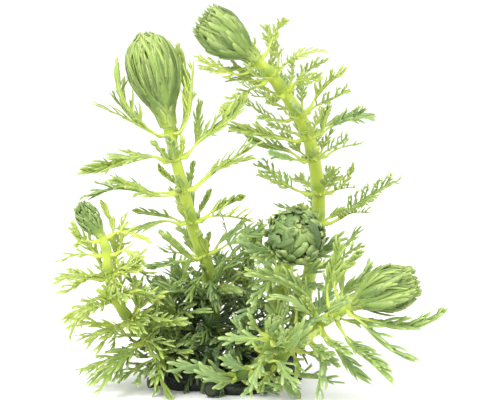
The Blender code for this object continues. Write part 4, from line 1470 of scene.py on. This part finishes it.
LONG_TIERS = ((-0.03, 0.74, 4), (0.02, 0.86, 6), (0.1, 0.95, 6), (0.22, 1.0, 7), (0.4, 1.0, 7))
ROUND_TIERS = ((0.0, 0.44, 6), (0.17, 0.6, 6), (0.34, 0.76, 6), (0.5, 0.9, 5), (0.68, 1.0, 4))
SMALL_TIERS = ((0.0, 0.8, 4), (0.12, 0.97, 4), (0.3, 1.02, 4))
BUD_FORMS = {
    "left_tall": BudForm(
        LONG_TIERS, pairs=5, lobe=0.42, run=12.0, spread=0.32, web=0.3, puff=0.7, mouth=0.1,
        widths=STRAPS, bloom=0.15, tone=0.57, crown=2.3, size=0.96, slim_foot=1.25
    ),
    "right_tall": BudForm(
        LONG_TIERS, pairs=4, lobe=0.5, run=9.0, spread=0.34, web=0.3, puff=1.3, mouth=0.62,
        widths=STRAPS, bloom=0.3, tone=0.44, size=0.88, slim_foot=1.4
    ),
    "right_low": BudForm(
        LONG_TIERS, pairs=5, lobe=0.46, run=9.0, spread=0.34, web=0.3, puff=1.4, mouth=0.5,
        widths=STRAPS, bloom=0.2, tone=0.5, size=0.94, slim_foot=1.25
    ),
    "centre": BudForm(
        ROUND_TIERS, pairs=2, lobe=0.84, run=3.8, spread=0.3, web=0.05, puff=1.7, mouth=0.1,
        widths=OVALS, bloom=0.5, tone=0.37, last_lobe=0.88, crown=0, size=0.94, notched=True
    ),
}
SMALL_BUD = BudForm(
    SMALL_TIERS, pairs=3, lobe=0.42, run=3.0, spread=0.5, web=0.3, puff=0.4, mouth=0.45,
    widths=STRAPS, bloom=0.35, tone=0.48, last_lobe=0.88
)
BUD_SKIN = 0.84  # radius of the innermost leaves, as a share of the bud's
THROAT, THROAT_LENGTH = 0.96, 0.3  # of the bud's foot, against the stem and the bud's length
BLUNT_FROM, BLUNT_END = 0.574, 1.02  # places along the bud between which it is blunter than an egg
SLOPE_STEP = 0.01  # for telling which way the bud's skin looks
SKIN_LIFT = 0.2  # millimetres, so that the skin has a girth at the tip too
MOST_INWARD = -0.2  # a skin that looks further inwards than this is turned round


class BudShape:
    """The egg that the young leaves of a bud lie on."""

    def __init__(self, shoot, path, form):
        self.foot = path[-1]
        reach = np.array(shoot.bud_tip, float) - self.foot
        self.length = float(np.linalg.norm(reach)) * form.size
        self.axis = unit(reach)
        self.radius = shoot.bud_radius * form.size
        self.throat = shoot.radius[1]
        self.mouth = form.mouth * self.radius
        self.crown = form.crown
        self.slim_foot = form.slim_foot

    def radius_at(self, t):
        """The egg's radius, which starts from the stem's and ends at the open mouth's."""
        t = max(t, 0.0)
        throat = THROAT * self.throat * max(1 - t / THROAT_LENGTH, 0)
        t = t**self.slim_foot
        egg = bud_outline(t)
        if t > BLUNT_FROM:
            past = min((t - BLUNT_FROM) / (BLUNT_END - BLUNT_FROM), 1)
            egg = max(egg, math.sqrt(1 - past**self.crown))
            return max(self.radius * egg * BUD_SKIN, self.mouth)
        return max(self.radius * egg * BUD_SKIN, throat)

    def middle(self, t):
        return self.foot + self.axis * self.length * t

    def point(self, t, turn, lift=0.0):
        return self.middle(t) + around(self.axis, turn) * (self.radius_at(t) + lift)

    def outward(self, t, turn):
        before, after = t - SLOPE_STEP, t + SLOPE_STEP
        by_height = self.point(after, turn) - self.point(before, turn)
        left, right = turn - SLOPE_STEP, turn + SLOPE_STEP
        by_turn = self.point(t, right, SKIN_LIFT) - self.point(t, left, SKIN_LIFT)
        out = unit(np.cross(by_turn, by_height))
        return out if out @ around(self.axis, turn) > MOST_INWARD else -out


BUD_RIB_POINTS = 11
BUD_LOBE_SHARES = (0.0, 0.25, 0.5, 0.75, 0.92, 1.0)
LAYER = 0.28  # millimetres between two tiers of young leaves
FOOT_SHARE = 0.3  # of the bud's length, over which the tiers part from the stem
BUD_BREADTHS = (0.75, 0.9, 1.0, 1.2, 1.8)  # of the lobes of one young leaf
BUD_LOBE_BREADTHS = (0.8, 1.2)  # of a single lobe, least and most
BUD_LEAN = 0.35  # radians by which a young leaf turns round the bud along its length
BUD_TONES, BUD_BLOOMS = 0.14, 0.2  # how far tone and bloom of a young leaf are off the bud's
LEAST_GIRTH = 0.3  # per radius of the bud
WEB_MIDDLE, WEB_REACH = 0.15, 0.3  # of a young leaf's web, along it
RIB_WIDTH = 0.8  # half width of its midrib, against a lobe's
RIB_END, RIB_TAPER = 1.03, 8  # where the midrib would end, and how fast it narrows there
FOOT_GLOW, GLOW_LENGTH = 0.3, 0.3  # how light a bud's foot is, and how far up
BUD_PAIR_STEP, BUD_PAIR_SWING = 0.3, 0.15  # how far lobes stand off their pair's place
FIRST_BUD_LOBE = 0.12  # along a young leaf
RUNS = (0.75, 1.2)  # of a lobe, against the usual run, least and most
RUN_ENDS = (0.95, 1.06)  # places along the bud where its lobes end at the latest
LEAST_RUN = 1.0  # of a lobe, millimetres
SPREAD_ARC = (0.2, 0.9)  # of a half turn that a young leaf's outline follows, from and to
SPREADS = (0.8, 1.15)  # of a lobe to the side, least and most
BUD_BEND = 1.2  # how far a lobe bends to the side, against its half width
LOBE_FOOT, LOBE_OUT = 0.45, 0.55  # how far out a lobe starts, and how far it goes on outwards
OUT_ARC = 0.6  # of a half turn, in which it goes outwards and back
LOBE_ARCH = 0.1  # how far a lobe arches off the bud, millimetres
BUD_LOBE_TONES = (-0.22, 0.16)  # against the young leaf's


def add_bud_leaf(growth, shape, form, tier, first, last, turn, rng):
    """A young leaf that lies on the bud, with its lobes folded forward along it."""
    layer = LAYER * (len(form.tiers) - 1 - tier)
    lean = wander(rng, BUD_LEAN)
    breadth = rng.choice(BUD_BREADTHS[:-1] if form.notched else BUD_BREADTHS)
    tone = form.tone + wander(rng, BUD_TONES)
    bloom = clamp(form.bloom + wander(rng, BUD_BLOOMS))
    half = form.spread * shape.radius

    def row(t, across, rise):
        girth = max(shape.radius_at(t), LEAST_GIRTH * shape.radius)
        angle = turn + lean * (t - first) + across / girth
        lift = layer * clamp(t / FOOT_SHARE)
        return shape.point(t, angle, lift + rise), shape.outward(t, angle)

    shares = np.linspace(0, 1, BUD_RIB_POINTS)
    points, ups = zip(*(row(between((first, last), share), 0.0, 0.0) for share in shares))
    web = form.web * shape.radius * np.exp(-((shares - WEB_MIDDLE) / WEB_REACH) ** 2)
    widths = (web + form.lobe * RIB_WIDTH) * np.clip((RIB_END - shares) * RIB_TAPER, 0, 1)
    glow = np.clip(1 - between((first, last), shares) / GLOW_LENGTH, 0, 1)
    light = np.clip(tone + FOOT_GLOW * glow, 0, 1)
    growth.add(WEB, points, ups, widths, light, bloom * (1 - glow))
    for i in range(form.pairs):
        for side in (-1, 1):
            share = i + BUD_PAIR_STEP * side + wander(rng, BUD_PAIR_SWING)
            share = clamp(share / max(form.pairs - 1, 1))
            share = between((FIRST_BUD_LOBE, form.last_lobe), share)
            start = between((first, last), share)
            run = form.run * rng.uniform(*RUNS) / shape.length
            run = min(run, rng.uniform(*RUN_ENDS) - start)
            if run * shape.length < LEAST_RUN:
                continue
            reach = half * math.sin(math.pi * between(SPREAD_ARC, share)) ** 0.5
            reach *= rng.uniform(*SPREADS)
            puff = form.puff * rng.random()
            bend = form.lobe * wander(rng, BUD_BEND)
            rows = []
            for x in BUD_LOBE_SHARES:
                out = LOBE_FOOT + LOBE_OUT * math.sin(OUT_ARC * math.pi * x)
                rise = puff * x**2 + LOBE_ARCH * math.sin(math.pi * x)
                rows.append(row(start + run * x, side * reach * out + bend * x, rise))
            points, ups = zip(*rows)
            lobe_tone = clamp(tone + rng.uniform(*BUD_LOBE_TONES))
            broad = form.lobe * breadth * rng.uniform(*BUD_LOBE_BREADTHS)
            growth.add(
                LOBE, points, ups, broad * np.array(form.widths), lobe_tone, bloom,
                np.array(BUD_LOBE_SHARES)
            )
            if form.notched:
                add_notches(growth, points, ups, broad, lobe_tone, bloom, rng)


NOTCH_OUT = 0.75  # how far the smaller folds stand to the side, against the scale's half width
NOTCH_DOWN = 0.12  # how far their ends lie lower, millimetres
NOTCH_BACK = 0.3  # how far their ends stay back, millimetres
NOTCH_BREADTHS = (0.55, 0.75)  # against the scale's, least and most
NOTCH_TONES = 0.1


def add_notches(growth, points, ups, broad, tone, bloom, rng):
    """Two smaller folds beside a scale's middle, which leave notches in its rim."""
    way = unit(points[-1] - points[0])
    for side in (-1, 1):
        fold = []
        for x, place, up in zip(BUD_LOBE_SHARES, points, ups):
            out = unit(np.cross(way, up))
            aside = side * out * broad * NOTCH_OUT * x
            fold.append(place + aside - up * NOTCH_DOWN * x - way * NOTCH_BACK * x)
        growth.add(
            LOBE, fold, ups, broad * rng.uniform(*NOTCH_BREADTHS) * np.array(OVALS),
            min(tone + wander(rng, NOTCH_TONES), 1), bloom, np.array(BUD_LOBE_SHARES)
        )


HEART_LOBES = 32
HEART_FEET, HEART_ENDS = (0.7, 0.8), (0.93, 1.02)  # places of the youngest leaves along the bud
HEART_LEAN = 0.25  # share of their distance from the axis that they have lost at their ends
HEART_BREADTH = 1.1  # against a lobe
HEART_TONES = 0.15


def add_heart(growth, shape, form, rng):
    """The youngest leaves, which stand up in the bud's open end."""
    for _ in range(HEART_LOBES):
        turn = rng.uniform(0, 2 * math.pi)
        out = around(shape.axis, turn)
        girth = shape.mouth * rng.random() ** 0.5
        ends = rng.uniform(*HEART_FEET), rng.uniform(*HEART_ENDS)
        points = [
            shape.middle(between(ends, x)) + out * girth * (1 - HEART_LEAN * x * x)
            for x in BUD_LOBE_SHARES
        ]
        growth.add(
            LOBE, points, [out] * len(points), form.lobe * HEART_BREADTH * np.array(form.widths),
            form.tone + wander(rng, HEART_TONES), form.bloom, np.array(BUD_LOBE_SHARES)
        )


# Painted shade: tone of the bud's heart
CORE_SHADE_TONE = 0.2
CORE_SHARE = 0.86  # radius of the heart of a bud, painted dark as shade, as a share of the bud's
CORE_FOOT, CORE_SPAN = 0.02, 0.93  # where the heart begins along the bud, and how long it is
CORE_SEGMENTS, CORE_RINGS = 16, 12
POLE = 0.999  # height on the unit ball above which a point is its pole


def bud_core(shape):
    """The heart of a bud, an egg a little smaller than the bud, painted dark as the shade between its
    folded leaves.
    """
    bm = bmesh.new()
    bmesh.ops.create_uvsphere(bm, u_segments=CORE_SEGMENTS, v_segments=CORE_RINGS, radius=1)
    for vert in bm.verts:
        t = CORE_FOOT + CORE_SPAN * (1 + vert.co.z) / 2
        place = shape.middle(t)
        if abs(vert.co.z) <= POLE:
            turn = math.atan2(vert.co.y, vert.co.x)
            place = place + around(shape.axis, turn) * (CORE_SHARE * shape.radius_at(t))
        vert.co = Vector(place * MM)
    bmesh.ops.recalc_face_normals(bm, faces=bm.faces[:])
    mesh = bpy.data.meshes.new("bud_core")
    bm.to_mesh(mesh)
    bm.free()
    return mesh


BUD_TURNS = 0.12  # radians by which a young leaf stands off its place in the tier
TIER_ENDS = (-0.04, 0.02)  # how far its end is off the tier's, along the bud


def make_bud(shoot, path, material, settings):
    growth = Growth()
    form = BUD_FORMS.get(shoot.name, SMALL_BUD)
    shape = BudShape(shoot, path, form)
    rng = Random(f"{shoot.name}_bud")
    # Painted shade: the heart is dark so that the gaps between the folded leaves look shaded
    growth.add_body(bud_core(shape), CORE_SHADE_TONE)
    add_heart(growth, shape, form, rng)
    for tier, (start, end, count) in enumerate(form.tiers):
        offset = rng.uniform(0, 1)
        for i in range(count):
            turn = 2 * math.pi * (i + offset) / count + wander(rng, BUD_TURNS)
            last = end + rng.uniform(*TIER_ENDS)
            add_bud_leaf(growth, shape, form, tier, start, last, turn, rng)
    depths = (1.0, settings.lobe_depth, settings.web_depth)
    obj = growth.grow(f"{shoot.name}_folded_leaves", LEAF_SIDES, depths, material)
    return hand_over(obj, "bud_green", f"{shoot.name}_bud")


# Rootstock

BALL_CUTS = 4  # how finely the balls are cut that the lumps are made of
ROUGH_FROM = 0.05  # height above which the skin is rough, millimetres
# How far the skin swells in millimetres, and how close its swellings are
SWELLINGS = ((0.9, 0.4), (0.55, 1.2))
LOWEST_SKIN = 0.02  # millimetres


def knot_skin(cell):
    """The skin of the rootstock: its lumps grown together, flat below and rough above."""
    bm = bmesh.new()
    for centre, axes in ROOT_LUMPS:
        made = bmesh.ops.create_icosphere(bm, subdivisions=BALL_CUTS, radius=1)
        for vert in made["verts"]:
            vert.co = Vector([(c + a * x) * MM for c, a, x in zip(centre, axes, vert.co)])
    mesh = bpy.data.meshes.new("knot")
    bm.to_mesh(mesh)
    bm.free()
    obj = new_object("knot", mesh)
    remesh = obj.modifiers.new("skin", "REMESH")
    remesh.mode = "VOXEL"
    remesh.voxel_size = cell
    graph = bpy.context.evaluated_depsgraph_get()
    skin = bpy.data.meshes.new_from_object(obj.evaluated_get(graph))
    bpy.data.objects.remove(obj)
    bpy.data.meshes.remove(mesh)
    bm = bmesh.new()
    bm.from_mesh(skin)
    everything = bm.verts[:] + bm.edges[:] + bm.faces[:]
    bmesh.ops.bisect_plane(
        bm, geom=everything, plane_co=(0, 0, 0), plane_no=(0, 0, 1), clear_inner=True
    )
    rim = [edge for edge in bm.edges if edge.is_boundary]
    bmesh.ops.contextual_create(bm, geom=rim)
    bm.normal_update()
    for vert in bm.verts:
        place = vert.co / MM
        if place.z > ROUGH_FROM:
            broad, fine = (height * noise.noise(place * close) for height, close in SWELLINGS)
            vert.co += vert.normal * (broad + fine) * MM * min(place.z, 1)
            vert.co.z = max(vert.co.z, LOWEST_SKIN * MM)
    bmesh.ops.recalc_face_normals(bm, faces=bm.faces[:])
    bm.to_mesh(skin)
    bm.free()
    return skin


def on_lump(centre, axes, turn, height, out):
    """A place on a lump's upper side, a little outside its skin."""
    flat = math.cos(height)
    way = np.array([math.cos(turn) * flat, math.sin(turn) * flat, math.sin(height)])
    return np.array(centre) + way * (np.array(axes) + out)


STRAND_POINTS, STRAND_SPAN = 14, 3  # places that an old stem is led through, and points to each
STRAND_HEIGHTS = (0.0, 1.1)  # radians above the middle of its lump, least and most
STRAND_SWEEPS = (0.8, 2.2)  # radians that it goes round the lump, least and most
STRAND_RISE = 0.7  # radians by which it rises or sinks on the way
STRAND_RADII = (0.55, 1.15)  # millimetres, least and most
STRAND_ARCH = 0.35  # how far its middle stands off, against its radius
STRAND_ROUGH, STRAND_SUNK = 0.3, 0.5  # how far it wavers, and how deep it lies, millimetres
STRAND_GAP = 0.05  # millimetres above the ground
SCAR, SCAR_STEP = 0.16, 5  # how far a scar stands out, against the radius, and points from one on
STRAND_TONES, STRAND_BLOOMS = (0.15, 0.6), (0, 0.8)


def add_old_stem(growth, rng):
    """An old creeping stem that hugs the knot."""
    centre, axes = rng.choice(ROOT_LUMPS)
    turn = rng.uniform(0, 2 * math.pi)
    height = rng.uniform(*STRAND_HEIGHTS)
    sweep = rng.uniform(*STRAND_SWEEPS) * rng.choice((-1, 1))
    rise = wander(rng, STRAND_RISE)
    radius = rng.uniform(*STRAND_RADII)
    points = []
    for share in np.linspace(0, 1, STRAND_POINTS):
        arch = radius * STRAND_ARCH * math.sin(math.pi * share)
        out = arch + STRAND_ROUGH * rng.random() - STRAND_SUNK
        place = on_lump(centre, axes, turn + sweep * share, height + rise * share, out)
        place[2] = max(place[2], radius + STRAND_GAP)
        points.append(place)
    points = smooth_path(points, STRAND_SPAN)
    scars = 1 + SCAR * (np.arange(len(points)) % SCAR_STEP == 0)
    ups = [unit(point - np.array(centre)) for point in points]
    tone = rng.uniform(*STRAND_TONES)
    bloom = rng.uniform(*STRAND_BLOOMS)
    growth.add(STALK, points, ups, radius * scars, tone, bloom, scars - 1)


# A cut old stem: places along it with its half widths and tones there, and its pale face
STUB_SHARES = (0, 0.3, 0.6, 0.85, 0.99, 1.0)
STUB_WIDTHS = (1.15, 1.05, 1.0, 1.04, 1.0, 0.86)
STUB_TONES = (0.3, 0.35, 0.4, 0.35, 0.3, 0.3)
STUB_BLOOM = 0.3
FACE_IN, FACE_OUT = 0.4, 0.12  # millimetres from the stub's end
FACE_WIDTHS = (0.78, 0.7)  # against the stub's radius
FACE_TONE = 0.8


def add_stub(growth, foot, end, radius):
    """A cut old stem, dark outside, with its pale face at the end."""
    foot, end = np.array(foot), np.array(end)
    reach = end - foot
    points = [foot + reach * share for share in STUB_SHARES]
    ups = [np.array([0, 0, 1.0])] * len(points)
    growth.add(
        STALK, points, ups, radius * np.array(STUB_WIDTHS), np.array(STUB_TONES), STUB_BLOOM
    )
    face = [end - unit(reach) * FACE_IN, end + unit(reach) * FACE_OUT]
    growth.add(STALK, face, ups[:2], [radius * width for width in FACE_WIDTHS], FACE_TONE)


KNOT_TONE, KNOT_BLOOM = 0.3, 0.2
KNOT_SIDES = 10  # corners of an old stem's cross section


def make_rootstock(material, settings):
    growth = Growth()
    rng = Random("rootstock")
    growth.add_body(knot_skin(settings.skin), KNOT_TONE, KNOT_BLOOM)
    for _ in range(settings.strands):
        add_old_stem(growth, rng)
    for foot, end, radius in ROOT_STUBS:
        add_stub(growth, foot, end, radius)
    obj = growth.grow("rootstock_knot", KNOT_SIDES, ROUND, material)
    return hand_over(obj, "root_brown", "rootstock")


# Shoots whose feet the old leaves stand round, as often as they stand here
OLD_SHOOTS = (
    "left_tall", "left_tall", "left_tall", "left_short", "left_short", "centre", "rear_short"
)
OLD_LEAF_LENGTH = (8, 14)  # millimetres, least and most
OLD_LEAF_LEVELS = (3, 31)  # heights on the stem between which they grow, millimetres
OLD_LEAF_SLOPES = (45, 110)  # degrees between leaf and stem, least and most
OLD_LEAF_FRONT = -15.0  # their tips stay behind this, millimetres
OLD_LEAF_LOWEST = 1.5  # height of their tips, millimetres
OLD_LEAF_FOOT = 1.2  # how far from the middle of the stem they start, millimetres
OLD_LEAF_BREADTH = 0.2  # half width, as a share of the length
OLD_LEAF_FACING = 0.3  # how far they face the viewer
OLD_LIGHT_PLACE = 0.7  # along a leaf, where its light is told
OLD_LEAF_SIDES = 5  # corners of a lobe's cross section
# Leaves that lie on the knot, three of four on its front, painted dark as shade
SKIRT_LEAVES = 82
SKIRT_FRONT, SKIRT_BACK = (180, 345), (-15, 180)  # degrees round the knot
SKIRT_MIDDLE = (-1, -1)  # millimetres
SKIRT_HEIGHTS = (3, 15)  # of their feet, millimetres
SKIRT_AXES = (11, 6, 0)  # half axes of the oval that their feet stand in, millimetres
SKIRT_INWARD = 0.3  # least distance of a foot from the middle, as a share of the oval's
SKIRT_LENGTH = (6, 10)  # millimetres, least and most
SKIRT_DRIFT = 4  # how far a tip drifts to the side, millimetres
SKIRT_DROPS = (-6, 5)  # how far it sinks or rises, millimetres
SKIRT_FOOT = 0.5  # millimetres
SKIRT_BREADTH = 0.22
SKIRT_FACING = 0.7
SKIRT_SHADE_TONES = (0.02, 0.2)


def make_old_leaves(paths, material, sizes, count):
    """Old leaves round the feet of the middle stems, painted dark where they stand in the shade, and
    limp ones on the knot, painted dark as shade."""
    growth = Growth()
    rng = Random("old leaves")
    low, high = OLD_LEAF_LEVELS

    def add(leaf, root, tone):
        bloom = rng.uniform(*OLD_HABIT.bloom)
        add_leaf(growth, leaf, root, OLD_HABIT, OLD_HABIT.low_blades, tone, bloom, sizes, rng)

    for _ in range(count):
        path = paths[rng.choice(OLD_SHOOTS)]
        i = rng.choice([i for i in range(1, len(path)) if low < path[i][2] < high])
        axis = unit(path[i] - path[i - 1])
        azimuth = rng.uniform(0, 2 * math.pi)
        way = direction(axis, azimuth, math.radians(rng.uniform(*OLD_LEAF_SLOPES)))
        tip = path[i] + way * rng.uniform(*OLD_LEAF_LENGTH)
        tip[1] = max(tip[1], OLD_LEAF_FRONT)
        tip[2] = max(tip[2], OLD_LEAF_LOWEST)
        leaf = leaf_at(
            path[i], axis, OLD_LEAF_FOOT, azimuth, tip, OLD_LEAF_BREADTH, rng, OLD_LEAF_FACING
        )
        light = leaf_light(leaf.point(OLD_LIGHT_PLACE)) ** 2
        add(leaf, path[i], rng.uniform(*OLD_HABIT.tone[::-1]) * light)
    for number in range(SKIRT_LEAVES):
        azimuth = math.radians(rng.uniform(*(SKIRT_FRONT if number % 4 else SKIRT_BACK)))
        way = np.array([math.cos(azimuth), math.sin(azimuth), 0])
        middle = np.array([*SKIRT_MIDDLE, rng.uniform(*SKIRT_HEIGHTS)])
        foot = middle + way * SKIRT_AXES * rng.uniform(SKIRT_INWARD, 1)
        tip = foot + way * rng.uniform(*SKIRT_LENGTH)
        tip += (wander(rng, SKIRT_DRIFT), 0, rng.uniform(*SKIRT_DROPS))
        tip[2] = max(tip[2], LOWEST_TIP)
        leaf = leaf_at(
            foot, np.array([0, 0, 1.0]), SKIRT_FOOT, azimuth, tip, SKIRT_BREADTH, rng,
            SKIRT_FACING
        )
        # Painted shade: the leaves on the knot get tones near the darkest leaf colour
        add(leaf, foot, rng.uniform(*SKIRT_SHADE_TONES))
    obj = growth.grow("old_leaves", OLD_LEAF_SIDES, leaf_depths(sizes), material)
    return hand_over(obj, "leaf_green")


# Stage

FLOOR_GRAIN = 6.0  # patches of the floor, per metre
FLOOR_SHADE = 0.985  # how light its darker patches are, against the lighter ones
AIM = (6.0, 0.0, 51.26)  # what the camera looks at, millimetres
SENSOR = 36.0  # width of the camera's picture area, millimetres
NEAREST = 0.01  # distance at which the camera begins to see, metres
WORLD_LIGHT = 1.1
LIT_PLACE = (0, 0, 0.05)  # what the lights are turned to, metres
# Name, place and size in metres, and power in watts
LIGHTS = (
    ("key_light", (-0.35, -0.5, 0.75), 0.6, 9.0),
    ("fill_light", (0.6, -0.4, 0.4), 0.7, 3.0),
)


def make_floor(settings):
    bpy.ops.mesh.primitive_plane_add(size=settings.floor)
    floor = bpy.context.active_object
    floor.name = "floor"
    material, nodes, shader = new_material("pale_floor")
    place = nodes.add("ShaderNodeTexCoord").outputs["Object"]
    grain = nodes.add(
        "ShaderNodeTexNoise", {"Vector": place, "Scale": FLOOR_GRAIN, "Detail": 2.0}
    )
    paper = tuple(settings.paper)
    shade = tuple(channel * FLOOR_SHADE for channel in paper)
    nodes.feed(shader, "Base Color", nodes.mix(grain.outputs["Fac"], (*paper, 1), (*shade, 1)))
    nodes.feed(shader, "Roughness", 0.9)
    floor.data.materials.append(material)


def add_soft_light(name, place, size, power):
    data = bpy.data.lights.new(name, "AREA")
    data.shape = "DISK"
    data.size = size
    data.energy = power
    light = new_object(name, data)
    light.location = place
    way = Vector(LIT_PLACE) - Vector(place)
    light.rotation_euler = way.to_track_quat("-Z", "Y").to_euler()


def make_camera(settings):
    back = Vector((0, -math.cos(settings.rise), math.sin(settings.rise)))
    data = bpy.data.cameras.new("camera")
    data.lens = settings.lens
    data.sensor_width = SENSOR
    data.clip_start = NEAREST
    camera = new_object("camera", data)
    camera.location = Vector(AIM) * MM + back * settings.distance
    camera.rotation_euler = (-back).to_track_quat("-Z", "Y").to_euler()
    bpy.context.scene.camera = camera


def light_world():
    world = bpy.data.worlds.new("pale_room")
    world.use_nodes = True
    background = world.node_tree.nodes["Background"]
    background.inputs["Color"].default_value = (1.0, 1.0, 1.0, 1.0)
    background.inputs["Strength"].default_value = WORLD_LIGHT
    bpy.context.scene.world = world
    bpy.context.scene.view_settings.view_transform = "Standard"


# Operators

class MILFOIL_OT_stage(bpy.types.Operator):
    """Make the pale floor, the soft lights and the camera"""

    bl_idname = "milfoil.stage"
    bl_label = "Stage"

    def execute(self, context):
        settings = context.scene.milfoil_stage
        make_floor(settings)
        light_world()
        for light in LIGHTS:
            add_soft_light(*light)
        make_camera(settings)
        return {"FINISHED"}


class MILFOIL_OT_leaves(bpy.types.Operator):
    """Make the pinnate leaves of every shoot"""

    bl_idname = "milfoil.leaves"
    bl_label = "Leaves"

    def execute(self, context):
        sizes = context.scene.milfoil_leaves
        whorls = clump()[1]
        material = leaf_material(sizes)
        for shoot in SHOOTS:
            own = [whorl for whorl in whorls if whorl["shoot"] is shoot]
            make_shoot_leaves(shoot, own, material, sizes)
        return {"FINISHED"}


class MILFOIL_OT_stems(bpy.types.Operator):
    """Make the stems with their swollen nodes"""

    bl_idname = "milfoil.stems"
    bl_label = "Stems"

    def execute(self, context):
        settings = context.scene.milfoil_stems
        paths = clump()[0]
        material = living_material("milfoil_stem", settings, STEM_FINISH)
        for shoot in SHOOTS:
            make_shoot_stem(shoot, paths[shoot.name], material, settings)
        return {"FINISHED"}


class MILFOIL_OT_buds(bpy.types.Operator):
    """Make the bud of folded young leaves at the tip of every shoot"""

    bl_idname = "milfoil.buds"
    bl_label = "Buds"

    def execute(self, context):
        settings = context.scene.milfoil_buds
        paths = clump()[0]
        material = living_material("milfoil_bud", settings, BUD_FINISH)
        for shoot in SHOOTS:
            make_bud(shoot, paths[shoot.name], material, settings)
        return {"FINISHED"}


class MILFOIL_OT_rootstock(bpy.types.Operator):
    """Make the knot of old stems and the old leaves above it, painted dark as shade"""

    bl_idname = "milfoil.rootstock"
    bl_label = "Rootstock"

    def execute(self, context):
        settings = context.scene.milfoil_root
        make_rootstock(living_material("milfoil_root", settings, ROOT_FINISH), settings)
        sizes = context.scene.milfoil_leaves
        make_old_leaves(clump()[0], leaf_material(sizes), sizes, settings.leaves)
        return {"FINISHED"}


class MILFOIL_PT_panel(bpy.types.Panel):
    """The steps and their settings, in the order in which they are made"""

    bl_idname = "MILFOIL_PT_panel"
    bl_label = "Guyana Milfoil"
    bl_space_type = "VIEW_3D"
    bl_region_type = "UI"
    bl_category = "Milfoil"

    def draw(self, context):
        for operator, group in STEPS:
            box = self.layout.box()
            box.operator(operator.bl_idname)
            settings = getattr(context.scene, group)
            for name in settings.__annotations__:
                box.prop(settings, name)


STEPS = (
    (MILFOIL_OT_stage, "milfoil_stage"),
    (MILFOIL_OT_stems, "milfoil_stems"),
    (MILFOIL_OT_leaves, "milfoil_leaves"),
    (MILFOIL_OT_buds, "milfoil_buds"),
    (MILFOIL_OT_rootstock, "milfoil_root"),
)
GROUPS = {
    "milfoil_stage": MilfoilStageSettings,
    "milfoil_stems": MilfoilStemSettings,
    "milfoil_leaves": MilfoilLeafSettings,
    "milfoil_buds": MilfoilBudSettings,
    "milfoil_root": MilfoilRootSettings,
}
CLASSES = (*GROUPS.values(), *(operator for operator, _ in STEPS), MILFOIL_PT_panel)


def register():
    for item in CLASSES:
        bpy.utils.register_class(item)
    for name, group in GROUPS.items():
        setattr(bpy.types.Scene, name, bpy.props.PointerProperty(type=group))


def unregister():
    for name in GROUPS:
        delattr(bpy.types.Scene, name)
    for item in reversed(CLASSES):
        bpy.utils.unregister_class(item)


def main():
    register()
    bpy.ops.milfoil.stage()
    bpy.ops.milfoil.stems()
    bpy.ops.milfoil.leaves()
    bpy.ops.milfoil.buds()
    bpy.ops.milfoil.rootstock()
    bpy.context.view_layer.update()


if __name__ == "__main__":
    main()
